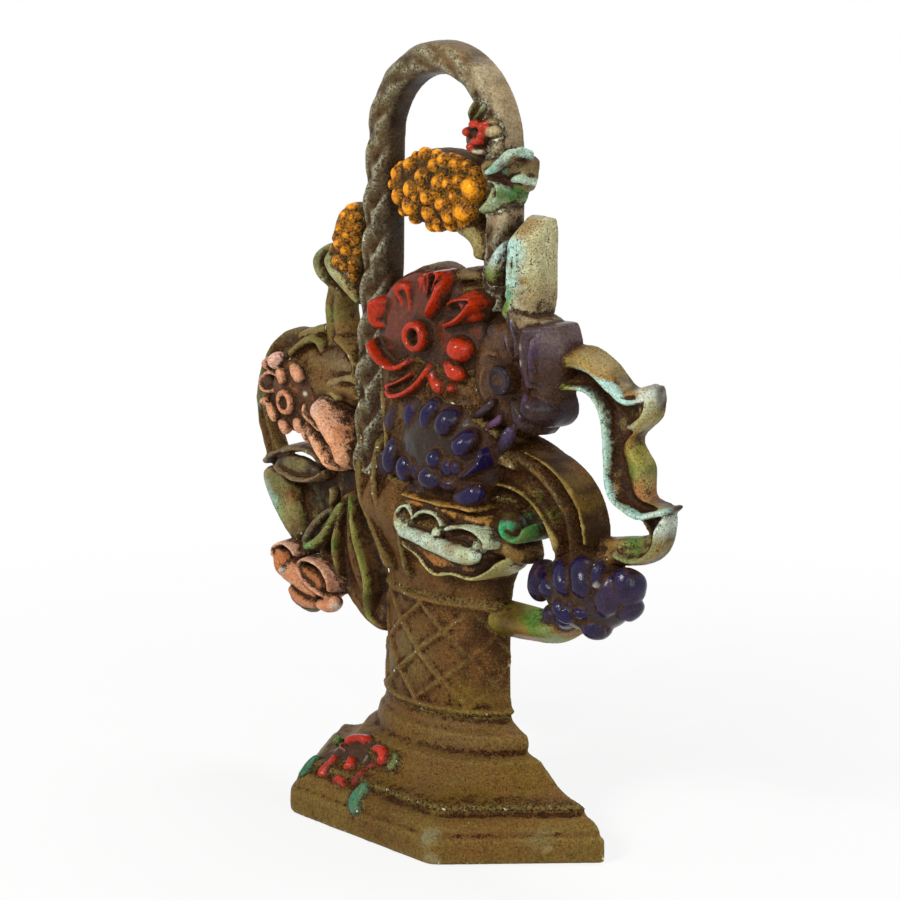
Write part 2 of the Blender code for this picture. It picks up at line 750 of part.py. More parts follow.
def build_base():
    plinth = finish(loft("base_plinth", plinth_rings()), "olive")
    foot = finish(loft("stepped_foot", foot_rings()), "brown")
    slope = BASE_DEPTH - PLINTH_SHOULDER - 6.0
    leaves = Rosette(
        BASE_FLOWER_X, BASE_FLOWER_Z, BASE_LEAF_RADIUS, BASE_LEAF_RADIUS, 4,
        lambda t, lobe: BASE_LEAF_RISE * (0.55 + 0.45 * (1 - t)) - 0.5 * (1 - lobe), -BASE_FLOWER_SINK,
        notch=0.62, turn=15.0, tilt=BASE_FLOWER_TILT, depth=slope, per_petal=6, circles=2,
    )
    flower = Rosette(
        BASE_FLOWER_X, BASE_FLOWER_Z, BASE_FLOWER_RADIUS, BASE_FLOWER_RADIUS, BASE_FLOWER_PETALS,
        lambda t, lobe: BASE_FLOWER_RISE * (1 - 0.35 * t) - 0.9 * (1 - lobe) * math.sin(math.pi * t)
        - 0.8 * (1 - t) ** 3, -BASE_FLOWER_SINK + 1.4,
        notch=0.2, turn=10.0, tilt=BASE_FLOWER_TILT, depth=slope,
    )
    base_leaves = finish(leaves.solid("base_leaves"), "green")
    finish(flower.solid("base_flower"), "red")
    under_leaves = tilted_clear(leaves, "base_leaves_room")
    under_flower = tilted_clear(flower, "base_flower_room")
    cut(plinth, [under_leaves, under_flower])
    cut(foot, [under_leaves, under_flower])
    cut(base_leaves, [under_flower])


def tilted_clear(form, name):
    """Room for a flower that leans on a slope: from just under its back to well above it."""
    heights = (form.seat - CLEAR, form.seat + TILTED_REACH)
    return helper(loft(name, [form.circle(1, lambda lobe: height, CLEAR) for height in heights]))


def flowers():
    """The round and oval flowers of the bouquet, by name, with their paint."""
    def dome(wall, rise, furrow):
        return lambda t, lobe: (
            wall + (rise - wall) * math.sqrt(max(0.0, 1 - t * t))
            - furrow * (1 - lobe) * math.sin(math.pi * min(1.0, t + 0.12))
        )

    def cupped(wall, rise):
        return lambda t, lobe: (
            wall + (rise - wall) * (0.35 * t + math.sin(math.pi * (1 - 0.62 * t)) * (0.6 + 0.4 * lobe))
        )

    def ring(rise, hollow):
        return lambda t, lobe: rise * (0.72 + 0.28 * math.sin(math.pi * t)) - hollow * (1 - t) ** 2

    poppy = Rosette(
        POPPY_X, POPPY_Z, POPPY_HALF_WIDTH, POPPY_HALF_HEIGHT, POPPY_PETALS,
        lambda t, lobe: POPPY_WALL + (POPPY_RISE - POPPY_WALL) * (1 - t**4) * (0.45 + 0.55 * lobe)
        - 3.2 * math.exp(-((t - 0.32) / 0.2) ** 2),
        FLOWER_SEAT, notch=0.22, turn=8.0,
    )
    poppy_ring = Rosette(
        POPPY_X, POPPY_Z, RING_RADIUS, RING_RADIUS, 1, ring(RING_RISE, 2.4),
        FLOWER_SEAT + POPPY_RISE - 4.0, notch=0.0, per_petal=16, circles=3,
    )
    aster = Rosette(
        ASTER_X, ASTER_Z, ASTER_HALF_WIDTH, ASTER_HALF_HEIGHT, ASTER_PETALS,
        dome(ASTER_WALL, ASTER_RISE, 2.2), ASTER_SEAT, notch=0.16,
    )
    purple = Rosette(
        PURPLE_X, PURPLE_Z, PURPLE_RADIUS, PURPLE_RADIUS, PURPLE_PETALS,
        lambda t, lobe: PURPLE_WALL
        + (PURPLE_RISE - PURPLE_WALL) * math.sin(math.pi * min(1.0, 1.1 - 0.9 * t)) ** 0.7
        - 2.6 * (1 - lobe) * t,
        0.0, notch=0.3, turn=12.0,
    )
    button = Rosette(
        PURPLE_X, PURPLE_Z, BUTTON_RADIUS, BUTTON_RADIUS, 1, ring(BUTTON_RISE, 1.4),
        PURPLE_RISE - 3.0, notch=0.0, per_petal=14, circles=2,
    )
    mum = Rosette(
        MUM_X, MUM_Z, MUM_HALF_WIDTH, MUM_HALF_HEIGHT, MUM_PETALS, dome(MUM_WALL, MUM_RISE, 2.4),
        0.0, notch=0.14, pinch=0.06,
    )
    trumpet = Rosette(
        TRUMPET_X, TRUMPET_Z, TRUMPET_HALF_WIDTH, TRUMPET_HALF_HEIGHT, TRUMPET_LOBES,
        cupped(TRUMPET_WALL, TRUMPET_RISE), TRUMPET_SEAT, notch=0.15, turn=TRUMPET_TURN,
        circles=4,
    )
    bud = Rosette(
        HANDLE_ARCH_RADIUS - BUD_IN, HANDLE_HEIGHT - BUD_DROP, BUD_HALF_WIDTH, BUD_HALF_HEIGHT, 4,
        dome(BUD_WALL, BUD_RISE, 1.0), 0.0, notch=0.06, turn=45.0, circles=3,
    )
    small_red = Rosette(
        HANDLE_ARCH_RADIUS - SMALL_RED_IN, HANDLE_HEIGHT - SMALL_RED_DROP, SMALL_RED_RADIUS,
        SMALL_RED_RADIUS, 5,
        lambda t, lobe: SMALL_RED_RISE * (1 - 0.2 * t**3) - 1.0 * (1 - lobe) * t - 2.0 * (1 - t) ** 3,
        0.0, notch=0.25, turn=20.0, circles=3,
    )
    daisy = Rosette(
        DAISY_X, DAISY_Z, DAISY_RADIUS, DAISY_RADIUS, DAISY_PETALS,
        lambda t, lobe: DAISY_WALL + (DAISY_RISE - DAISY_WALL) * (1 - t * t)
        - 1.6 * (1 - lobe) * math.sin(math.pi * min(1.0, t + 0.1)),
        LEFT_SEAT, notch=0.3, circles=3,
    )
    daisy_ring = Rosette(
        DAISY_X, DAISY_Z, DAISY_RING_RADIUS, DAISY_RING_RADIUS, 1, ring(DAISY_RING_RISE, 1.6),
        LEFT_SEAT + DAISY_RISE - 1.6, notch=0.0, per_petal=12, circles=3,
    )
    lobed = Rosette(
        LOBED_X, LOBED_Z, LOBED_HALF_WIDTH, LOBED_HALF_HEIGHT, LOBED_LOBES,
        cupped(LOBED_WALL, LOBED_RISE), 0.0, notch=0.17, turn=LOBED_TURN, per_petal=6, circles=5,
        pinch=0.05,
    )
    return {
        "red_poppy": (poppy, "red"),
        "poppy_ring": (poppy_ring, "red"),
        "blue_aster": (aster, "blue"),
        "purple_flower": (purple, "purple"),
        "purple_button": (button, "purple"),
        "blue_mum": (mum, "blue"),
        "cream_trumpet": (trumpet, "cream"),
        "flower_bud": (bud, "green"),
        "small_red_flower": (small_red, "red"),
        "pink_daisy": (daisy, "pink"),
        "daisy_ring": (daisy_ring, "pink"),
        "lobed_pink_flower": (lobed, "pink"),
    }


def straps():
    """The rope, the bouquet's body, the ribbons, leaves and stalks, by name, with their paint."""
    def rounded(wall, square):
        return lambda u, t: wall * (square + (1 - square) * math.sqrt(max(0.0, 1 - u * u)))

    near = STEM_HALF - 3.0
    far = MUM_X - 6.0
    stalk_line = (
        (near, STALK_Z, STALK_HALF), ((near + far) / 2, STALK_Z + 0.8, 0.88 * STALK_HALF),
        (far, STALK_Z + STALK_RISE, 0.75 * STALK_HALF),
    )
    tips_z = HANDLE_HEIGHT - TIPS_DROP
    tips_line = (
        (HANDLE_ARCH_RADIUS - TIPS_IN, tips_z + 1.0, TIPS_HALF),
        (HANDLE_ARCH_RADIUS + 0.15 * TIPS_OUT, tips_z, 1.06 * TIPS_HALF),
        (HANDLE_ARCH_RADIUS + TIPS_OUT, tips_z, 0.85 * TIPS_HALF),
    )
    rope = Strap(rails(handle_line(), 52), rope_front, across=6)
    core = Strap(rails(core_line(), 9), core_front, across=8)
    leaf = Strap(
        rails(LEAF_LINE, 10),
        lambda u, t: LEAF_WALL + 2.2 * abs(math.sin(1.5 * math.pi * u)) * (1 - t) - 0.8 * t,
    )
    right_ribbon = Strap(edge_pairs(RIGHT_RIBBON_EDGES, 34), ribbon_front, across=6)
    sheath = Strap(
        rails(SHEATH_LINE, 13),
        lambda u, t: SHEATH_WALL + 2.0 * (1 - u * u)
        + SHEATH_FLUTE * max(0.0, math.cos(3 * math.pi * u / 2)) * (1 - abs(u)),
        across=10,
    )
    stalk = Strap(rails(stalk_line, 7), rounded(STALK_WALL, 0.45), across=6)
    tips = Strap(
        rails(tips_line, 7),
        lambda u, t: TIPS_WALL * (1 - 0.38 * t) + 1.2 * math.cos(2 * math.pi * u), across=6,
    )
    cup = Strap(rails(CUP_LINE, 12), rounded(CUP_WALL, 0.65), across=6)
    left_stem = Strap(rails(LEFT_STEM_LINE, 8), rounded(LEFT_STEM_WALL, 0.6), across=6)
    leaf_mass = Strap(
        rails(LEAF_MASS_LINE, 12),
        lambda u, t: LEAF_MASS_WALL + LEAF_MASS_SWELL * (1 - u * u) * math.sin(math.pi * (0.2 + 0.7 * t)),
    )
    bell = Strap(
        rails(BELL_LINE, 14),
        lambda u, t: BELL_WALL + 3.0 * (1 - u * u) * (1 - 0.5 * t) - 2.2 * math.exp(-((u * 3) ** 2)) * t,
    )
    left_ribbon = Strap(rails(LEFT_RIBBON_LINE, 22), strip_front, across=4)
    loop = Strap(edge_pairs(LOOP_EDGES, 12), loop_front, across=10)
    lower_leaf = Strap(
        edge_pairs(LOWER_LEAF_EDGES, 14),
        lambda u, t: LOWER_LEAF_WALL + LOWER_LEAF_FLUTE * math.cos(2 * math.pi * u),
    )
    return {
        "rope_handle": (rope, "rope"),
        "bouquet_core": (core, "brown"),
        "upright_leaf": (leaf, "cream"),
        "right_ribbon": (right_ribbon, "aqua"),
        "arched_sheath": (sheath, "brown"),
        "mum_stalk": (stalk, "green"),
        "pale_leaf_tips": (tips, "aqua"),
        "left_cup_leaf": (cup, "cream"),
        "left_flower_stem": (left_stem, "olive"),
        "left_leaf_mass": (leaf_mass, "olive"),
        "pink_bell": (bell, "pink"),
        "left_ribbon": (left_ribbon, "aqua"),
        "left_ribbon_loop": (loop, "aqua"),
        "lower_left_leaf": (lower_leaf, "olive"),
    }


def build_bouquet():
    """Everything above the foot. Each form lies over its lower neighbours, which are let in under it."""
    stem = finish(loft("basket_stem", stem_rings(), along_rib), "brown")
    bowl = finish(loft("basket_bowl", bowl_rings()), "brown")
    forms = {**straps(), **flowers()}
    solids = {name: finish(form.solid(name), kind) for name, (form, kind) in forms.items()}
    solids["basket_stem"] = stem
    solids["basket_bowl"] = bowl
    centre_beads, centre_body = bead_cluster(
        "centre_bead_cluster", BEADS_X, BEADS_Z, BEADS_HALF_WIDTH, BEADS_HALF_HEIGHT, BEADS_WALL,
        BEADS_RISE, BEAD_COUNT,
    )
    left_beads, left_body = bead_cluster(
        "left_bead_cluster", LEFT_BEADS_X, LEFT_BEADS_Z, LEFT_BEADS_HALF_WIDTH,
        LEFT_BEADS_HALF_HEIGHT, BEADS_WALL, LEFT_BEADS_RISE, LEFT_BEAD_COUNT,
    )
    solids["centre_bead_cluster"] = finish(centre_beads, "yellow")
    solids["left_bead_cluster"] = finish(left_beads, "yellow")

    rooms = {name: form.keep_clear(name + "_room") for name, (form, kind) in forms.items()}
    rooms["left_bead_cluster"] = bead_room("left_bead_room", left_body)
    rooms["basket_stem"] = helper(loft("stem_room", stem_rings(CLEAR)))
    rooms["basket_bowl"] = helper(loft("bowl_room", bowl_rings(CLEAR)))
    rooms["rope_jacket"] = forms["rope_handle"][0].jacket("rope_jacket")

    uppers = {
        "basket_bowl": ("blue_aster", "cream_trumpet", "arched_sheath"),
        "bouquet_core": ("rope_handle", "red_poppy", "blue_aster", "purple_flower", "upright_leaf",
                         "arched_sheath"),
        "rope_handle": ("basket_bowl", "upright_leaf", "red_poppy", "purple_flower"),
        "red_poppy": ("poppy_ring",),
        "purple_flower": ("purple_button", "red_poppy"),
        "blue_aster": ("red_poppy", "purple_flower"),
        "upright_leaf": ("purple_flower",),
        "arched_sheath": ("purple_flower", "blue_aster", "blue_mum", "cream_trumpet"),
        "right_ribbon": ("purple_flower", "blue_mum", "arched_sheath"),
        "mum_stalk": ("blue_mum", "basket_stem", "basket_bowl"),
        "cream_trumpet": ("blue_aster",),
        "flower_bud": ("rope_jacket", "small_red_flower"),
        "small_red_flower": ("rope_jacket",),
        "pale_leaf_tips": ("rope_jacket", "small_red_flower"),
        "centre_bead_cluster": ("rope_jacket", "small_red_flower", "pale_leaf_tips"),
        "left_bead_cluster": ("rope_handle",),
        "left_cup_leaf": ("rope_handle", "left_bead_cluster"),
        "left_flower_stem": ("rope_handle", "left_cup_leaf", "left_leaf_mass", "left_bead_cluster"),
        "left_leaf_mass": ("rope_handle", "pink_bell", "pink_daisy"),
        "pink_bell": ("rope_handle", "basket_bowl"),
        "pink_daisy": ("pink_bell", "daisy_ring"),
        "left_ribbon": ("left_leaf_mass", "pink_daisy", "left_ribbon_loop"),
        "left_ribbon_loop": ("pink_bell", "rope_handle", "lower_left_leaf", "lobed_pink_flower",
                             "basket_bowl"),
        "lower_left_leaf": ("lobed_pink_flower", "pink_bell", "basket_stem", "basket_bowl",
                            "rope_handle"),
    }
    for name, above in uppers.items():
        cut(solids[name], [rooms[upper] for upper in above])


def main():
    for old in list(bpy.data.objects):
        bpy.data.objects.remove(old, do_unlink=True)
    build_base()
    build_bouquet()


main()
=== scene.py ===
"""Looks of the flower basket doorstop: cast iron with cold enamel paint, worn and toned with brown.

Places are given in millimetres as x (to the viewer's right), d (forward of the flat back) and z (up).
"""

import math

import bpy
import numpy as np
from mathutils import Matrix, Vector
from mathutils.bvhtree import BVHTree


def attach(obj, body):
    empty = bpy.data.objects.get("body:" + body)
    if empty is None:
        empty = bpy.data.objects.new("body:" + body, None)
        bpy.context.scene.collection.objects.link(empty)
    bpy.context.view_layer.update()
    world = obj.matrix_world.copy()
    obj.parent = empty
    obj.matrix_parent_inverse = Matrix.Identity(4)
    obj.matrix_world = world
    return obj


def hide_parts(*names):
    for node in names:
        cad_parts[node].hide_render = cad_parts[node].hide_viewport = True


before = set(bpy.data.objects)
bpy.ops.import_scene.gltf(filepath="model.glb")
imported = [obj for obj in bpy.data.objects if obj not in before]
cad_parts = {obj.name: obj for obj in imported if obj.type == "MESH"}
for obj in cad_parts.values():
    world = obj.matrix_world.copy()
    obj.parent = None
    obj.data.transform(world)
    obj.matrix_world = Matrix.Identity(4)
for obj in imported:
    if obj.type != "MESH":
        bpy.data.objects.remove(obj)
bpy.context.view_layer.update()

MM = 0.001
BACK_Y = 22.5
FRONT = (0.0, 1.0, 0.0)
# This near the flat back, and this near the floor, a form stays plain
BACK_BAND, FLOOR_BAND = 1.2, 0.4

# Paint colours as they look on the object
UMBER = "#48290f"
DARK_UMBER = "#1d1006"
OLIVE = "#6a5319"
ROPE_GREY = "#4f3f22"
POPPY_RED = "#ab2a08"
AMBER = "#ef9a00"
VIOLET = "#1a123c"
PLUM = "#2c2028"
SALMON = "#cf9470"
AQUA = "#a6cabd"
CREAM = "#bcb27e"
LEAF_GREEN = "#4b7a2c"
DUST = "#a07e48"
PRIMER = "#d8d2bd"


def linear(code):
    """An sRGB hex colour as linear red, green and blue."""
    parts = [int(code[k:k + 2], 16) / 255 for k in (1, 3, 5)]
    return tuple(c / 12.92 if c <= 0.04045 else ((c + 0.055) / 1.055) ** 2.4 for c in parts)


def add_object(name, data):
    """Puts an object with this mesh, lamp or lens into the scene."""
    made = bpy.data.objects.new(name, data)
    bpy.context.scene.collection.objects.link(made)
    return made


# Shapes

def circle(around):
    """Angles evenly spaced round a whole turn."""
    return np.linspace(0, 2 * np.pi, around, endpoint=False)


def eased(share):
    """A share from 0 to 1, with a slow start and a slow end."""
    return share * share * (3 - 2 * share)


def boxed(value, power):
    """A cosine or sine that stays near its ends for longer, the lower the power."""
    return np.sign(value) * np.abs(value) ** power


def rounded_ends(t, ends, least):
    """How wide a form is along its length t, with round ends over the first and last share of it."""
    fade = np.ones(len(t))
    for share, s in ((ends[0], t), (ends[1], 1 - t)):
        if share:
            fade *= np.sqrt(np.clip(1 - (1 - np.clip(s / share, 0, 1)) ** 2, least, 1))
    return fade


def smooth(rows, count):
    """Points on a smooth line through the rows, evenly spaced along it, each number of a row eased alike."""
    rows = np.array(rows, float)
    ends = np.vstack([2 * rows[0] - rows[1], rows, 2 * rows[-1] - rows[-2]])
    s = np.linspace(0, len(rows) - 1, 16 * len(rows))
    line = through(ends, s)
    steps = np.linalg.norm(np.diff(line[:, :3], axis=0), axis=1)
    walked = np.concatenate([[0], np.cumsum(steps)])
    return through(ends, np.interp(np.linspace(0, walked[-1], count), walked, s))


def through(rows, s):
    """Numbers between the rows at the places s, on a smooth curve that runs through all but the end rows."""
    k = np.minimum(s.astype(int), len(rows) - 4)
    f = (s - k)[:, None]
    a, b, c, e = rows[k], rows[k + 1], rows[k + 2], rows[k + 3]
    return 0.5 * (2 * b + (c - a) * f + (2 * a - 5 * b + 4 * c - e) * f * f
                  + (3 * b - a - 3 * c + e) * f**3)


def unit(v):
    """Directions of length 1."""
    return v / np.maximum(np.linalg.norm(v, axis=-1, keepdims=True), 1e-9)


def lumps(points, size, seed):
    """Smooth random heights from -1 to 1, with humps about this many millimetres across."""
    p = np.asarray(points, float) / size + 17.3 * seed
    base = np.floor(p).astype(np.int64)
    f = eased(p - base)
    total = np.zeros(p.shape[:-1])
    for corner in range(8):
        step = np.array([corner & 1, corner >> 1 & 1, corner >> 2 & 1])
        cell = base + step
        # Large numbers mix the cell's place into one that looks random
        mixed = (cell[..., 0] * 73856093) ^ (cell[..., 1] * 19349663) ^ (cell[..., 2] * 83492791)
        mixed = mixed ^ (seed * 2654435)
        mixed = (mixed ^ (mixed >> 13)) * 1274126177 & 0x7fffffff
        total += np.prod(np.where(step, f, 1 - f), axis=-1) * (mixed / 0x3fffffff - 1)
    return total


def tube(rows, count, around, power=1.0, up=FRONT, ends=(0.12, 0.12)):
    """A closed round form along a line. Rows: x, d, z, half width and half height.

    power sets how round its section is, and ends are the shares of its length that are rounded off.
    """
    line = smooth(rows, count)
    spots = line[:, :3]
    ahead = unit(np.gradient(spots, axis=0))
    side = unit(np.cross(ahead, np.array(up, float)))
    top = unit(np.cross(side, ahead))
    fade = rounded_ends(np.linspace(0, 1, count), ends, 0.0025)[:, None]
    angle = circle(around)
    across, rise = boxed(np.cos(angle), power), boxed(np.sin(angle), power)
    return (spots[:, None] + side[:, None] * (across * fade * line[:, 3:4])[..., None]
            + top[:, None] * (rise * fade * line[:, 4:5])[..., None])


def relief(edges, front, count, across, square, seat=0.0, ends=(0.0, 0.0), bend=None):
    """A form that rises from a flat seat. Edges: x and z of its left side, then of its right side.

    front(u, t) is its depth at u, from -1 at the left to 1 at the right, and at t along it. square sets
    how boxy it is, ends are the shares of its length that are rounded off, and bend shifts the finished
    grid.
    """
    rows = smooth_edges(edges, count)
    t = np.linspace(0, 1, count)
    angle = np.linspace(0, np.pi, across)
    u = -boxed(np.cos(angle), 2 / square)
    lift = np.abs(np.sin(angle)) ** (2 / square)
    lift[0] = lift[-1] = 0
    fade = rounded_ends(t, ends, 0.01)
    low, high = rows[:, None, 0:2], rows[:, None, 2:4]
    share = (u[None, :, None] * fade[:, None, None] + 1) / 2
    flat = low + (high - low) * share
    depth = seat + (front(u[None, :], t[:, None]) - seat) * lift[None, :] * (0.3 + 0.7 * fade[:, None])
    depth = np.broadcast_to(depth, flat.shape[:2])
    grid = np.stack([flat[..., 0], depth, flat[..., 1]], axis=-1)
    return grid if bend is None else bend(grid)


def smooth_edges(edges, count):
    """Smooth edges, evenly spaced along the line midway between them."""
    rows = np.array(edges, float)
    middle = (rows[:, 0:2] + rows[:, 2:4]) / 2
    padded = np.column_stack([middle[:, 0], 0 * middle[:, 0], middle[:, 1], rows])
    return smooth(padded, count)[:, 3:7]


def rails(rows, count):
    """Left and right edges of a strap, from its centre line: x, z and half width."""
    rows = np.array(rows, float)
    line = smooth(np.column_stack([rows[:, 0], 0 * rows[:, 0], rows[:, 1:]]), count)
    spots = line[:, [0, 2]]
    ahead = unit(np.gradient(spots, axis=0))
    left = np.column_stack([-ahead[:, 1], ahead[:, 0]]) * line[:, 3:4]
    return np.column_stack([spots + left, spots - left])


def skin(grids, placed=True):
    """One mesh's corners and faces from closed grids, each turned so that its faces point outwards.

    A grid is a stack of rings, and a middle point closes each end. Placed grids are in x, d and z.
    """
    corners, faces, start = [], [], 0
    for grid in grids:
        n, m = grid.shape[:2]
        spots = grid.reshape(-1, 3)
        if placed:
            spots = spots * (1, -1, 1) + (0, BACK_Y, 0)
        every = np.vstack([spots, spots[:m].mean(0), spots[-m:].mean(0)])
        k = np.arange(m)
        k2 = (k + 1) % m
        i = np.arange(n - 1)[:, None] * m
        last = (n - 1) * m
        quads = np.stack([i + k, i + k2, i + m + k2, i + m + k], axis=-1).reshape(-1, 4)
        low = np.stack([np.full(m, n * m), k2, k, k], axis=-1)
        high = np.stack([np.full(m, n * m + 1), last + k, last + k2, last + k2], axis=-1)
        made = np.vstack([quads, low, high])
        a, b, c, e = (every[made[:, j]] for j in range(4))
        volume = (np.einsum("ij,ij->i", a, np.cross(b, c)) + np.einsum("ij,ij->i", a, np.cross(c, e))).sum()
        if volume < 0:
            made = made[:, ::-1]
        corners.append(every)
        faces.append(made + start)
        start += len(every)
    return np.vstack(corners), np.vstack(faces)


def mesh_object(name, corners, faces):
    """An object from corners in millimetres and faces of four, of which a triangle's name one twice."""
    doubled = faces[:, 2] == faces[:, 3]
    triangle = doubled | (faces[:, 0] == faces[:, 1])
    thirds = np.where(doubled[:, None], faces[:, [0, 1, 2]], faces[:, [1, 2, 3]])[triangle]
    quads = faces[~triangle]
    mesh = bpy.data.meshes.new(name)
    mesh.vertices.add(len(corners))
    mesh.vertices.foreach_set("co", (corners * MM).astype(np.float32).ravel())
    loops = np.concatenate([quads.ravel(), thirds.ravel()])
    mesh.loops.add(len(loops))
    mesh.loops.foreach_set("vertex_index", loops.astype(np.int32))
    starts = np.concatenate([np.arange(len(quads)) * 4, len(quads) * 4 + np.arange(len(thirds)) * 3])
    mesh.polygons.add(len(starts))
    mesh.polygons.foreach_set("loop_start", starts.astype(np.int32))
    mesh.update(calc_edges=True)
    mesh.polygons.foreach_set("use_smooth", np.ones(len(starts), bool))
    return add_object(name, mesh)


# The list of pieces

PIECES = []


class Piece:
    """One painted form of the casting: its mesh, its colour and the CAD nodes that it stands for.

    shape is a list of grids, each alone or with its own colour, or an object that is ready. spots are
    patches of another colour: x, z, radius, colour and strength. rough is the height of the cast surface's
    swellings, deep the two depths between which the colour of the ground gives way to the paint, and that
    colour, and cell the width of the cells that the grids are fused by.
    """

    def __init__(self, name, nodes, slot, finish, shape, paint, spots=(), rough=0.22, deep=None,
                 cell=0.55):
        self.name = name
        self.nodes = nodes
        self.slot = slot
        self.finish = finish
        self.spots = spots
        self.rough = rough
        self.deep = deep
        if isinstance(shape, bpy.types.Object):
            self.object = shape
            self.tint = np.tile(linear(paint), (len(shape.data.vertices), 1))
        else:
            parts = [part if isinstance(part, tuple) else (part, paint) for part in shape]
            corners, faces = skin([grid for grid, _ in parts])
            self.tint = np.vstack([np.tile(linear(code), (grid.shape[0] * grid.shape[1] + 2, 1))
                                   for grid, code in parts])
            self.object = mesh_object(name, corners, faces)
            self.fuse(cell)
        PIECES.append(self)

    def fuse(self, cell):
        """Joins the overlapping forms into one skin, as one pour of iron does, and keeps their colours."""
        step = self.object.modifiers.new("fuse", "REMESH")
        step.mode = "VOXEL"
        step.voxel_size = cell * MM
        ready = self.object.evaluated_get(bpy.context.evaluated_depsgraph_get())
        fused = bpy.data.meshes.new_from_object(ready)
        self.object.modifiers.remove(step)
        parts = self.object.data
        tree = BVHTree.FromPolygons([v.co for v in parts.vertices], [p.vertices for p in parts.polygons])
        first = [p.vertices[0] for p in parts.polygons]
        self.tint = self.tint[[first[tree.find_nearest(v.co)[2]] for v in fused.vertices]]
        self.object.data = fused
        bpy.data.meshes.remove(parts)
        fused.name = self.name
        fused.polygons.foreach_set("use_smooth", np.ones(len(fused.polygons), bool))
        self.move(self.relax(self.corners(), 2))
        self.tint = self.relax(self.tint, 2)

    def relax(self, values, rounds):
        """Averages a value of each corner over the corners next to it, a few times."""
        mesh = self.object.data
        pairs = np.empty(len(mesh.edges) * 2, np.int32)
        mesh.edges.foreach_get("vertices", pairs)
        a, b = pairs[0::2], pairs[1::2]
        count = len(values)
        weight = np.maximum(np.bincount(a, minlength=count) + np.bincount(b, minlength=count), 1)[:, None]
        table = values.reshape(count, -1)
        for _ in range(rounds):
            totals = [np.bincount(a, column[b], count) + np.bincount(b, column[a], count)
                      for column in table.T]
            table = 0.5 * table + 0.5 * np.stack(totals, 1) / weight
        return table.reshape(values.shape)

    def read(self, key):
        """Three numbers of each corner, such as its place or the way that it faces."""
        vertices = self.object.data.vertices
        out = np.empty(len(vertices) * 3, np.float32)
        vertices.foreach_get(key, out)
        return out.reshape(-1, 3).astype(float)

    def corners(self):
        """The corners' places in millimetres."""
        return self.read("co") / MM

    def normals(self):
        """The way that each corner faces."""
        return self.read("normal")

    def move(self, corners):
        """Moves the corners, and keeps them in front of the flat back and above the floor."""
        corners = np.column_stack([corners[:, 0], np.minimum(corners[:, 1], BACK_Y),
                                   np.maximum(corners[:, 2], 0)])
        mesh = self.object.data
        mesh.vertices.foreach_set("co", (corners * MM).astype(np.float32).ravel())
        mesh.update()

    def swell(self, heights):
        """Raises the corners by their heights, apart from those at the flat back."""
        spots = self.corners()
        heights[spots[:, 1] > BACK_Y - BACK_BAND] = 0
        self.move(spots + self.normals() * heights[:, None])


def step_backs(step=0.1):
    """Sets each flat back a hair deeper than the backs it crosses, so that no two lie in one plane."""
    taken = []
    for piece in PIECES:
        spots = piece.corners()
        low, high = spots.min(0)[[0, 2]], spots.max(0)[[0, 2]]
        crossed = {level for level, a, b in taken if np.all(low < b) and np.all(high > a)}
        level = min(k for k in range(len(PIECES)) if k not in crossed)
        taken.append((level, low, high))
        spots[:, 1] = np.minimum(spots[:, 1], BACK_Y - step * level)
        piece.move(spots)


def cast_surface(piece):
    """Gives a form the soft unevenness of sand-cast iron under thick paint."""
    spots = piece.corners()
    heights = piece.rough * (0.9 * lumps(spots, 7.0, 1) + 0.55 * lumps(spots, 3.1, 2)
                             + 0.28 * lumps(spots, 1.5, 3))
    heights[spots[:, 2] < FLOOR_BAND] = 0
    piece.swell(heights)


def blend_seams(reach=2.4, rise=0.55):
    """Raises a soft fillet where one form runs into another, and marks how near each point is."""
    trees, boxes = {}, {}
    for piece in PIECES:
        mesh, spots = piece.object.data, piece.corners()
        trees[piece.name] = BVHTree.FromPolygons([v.co / MM for v in mesh.vertices],
                                                 [p.vertices for p in mesh.polygons])
        boxes[piece.name] = spots.min(0), spots.max(0)
    for piece in PIECES:
        spots = piece.corners()
        near = np.zeros(len(spots))
        for other in PIECES:
            if other is piece:
                continue
            low, high = boxes[other.name]
            inside = np.all((spots > low - reach) & (spots < high + reach), axis=1)
            tree = trees[other.name]
            for k in np.nonzero(inside)[0]:
                hit, normal, _, gap = tree.find_nearest(Vector(spots[k]), reach)
                if hit is None:
                    continue
                out = (Vector(spots[k]) - hit).dot(normal) >= 0
                near[k] = max(near[k], 1 - gap / reach if out else 1.0)
        # This nearness later darkens the toning along the seams as painted shade
        piece.near = near
        piece.swell(np.where(near < 1, rise * near**2, 0))


def find_closed(reach=11.0, rays=7, asked=0.4):
    """Marks how closed in each point is, from a few rays towards the forms round it.

    Only a share of the points is asked, and the others take it from those next to them.
    """
    corners, faces = [], []
    for piece in PIECES:
        mesh = piece.object.data
        start = len(corners)
        corners.extend(v.co / MM for v in mesh.vertices)
        faces.extend([k + start for k in p.vertices] for p in mesh.polygons)
    tree = BVHTree.FromPolygons(corners, faces)
    chance = np.random.RandomState(12)
    for piece in PIECES:
        spots, normals = piece.corners(), piece.normals()
        known = (chance.uniform(size=len(spots)) < asked).astype(float)
        closed = np.zeros(len(spots))
        for k in np.nonzero(known)[0]:
            eye = Vector(spots[k] + 0.3 * normals[k])
            total = 0.0
            for ray in unit(normals[k] * 1.02 + unit(chance.normal(size=(rays, 3)))):
                gap = tree.ray_cast(eye, Vector(ray), reach)[3]
                if gap is not None:
                    total += 1 - 0.6 * gap / reach
            closed[k] = total / rays
        # How closed in a point is darkens its toning as painted shade
        piece.closed = piece.relax(closed, 4) / np.maximum(piece.relax(known, 4), 1e-6)


def laid_over(colours, code, share):
    """Colours with another one laid over them, by a share for each corner."""
    share = share[:, None]
    return colours * (1 - share) + np.array(linear(code)) * share


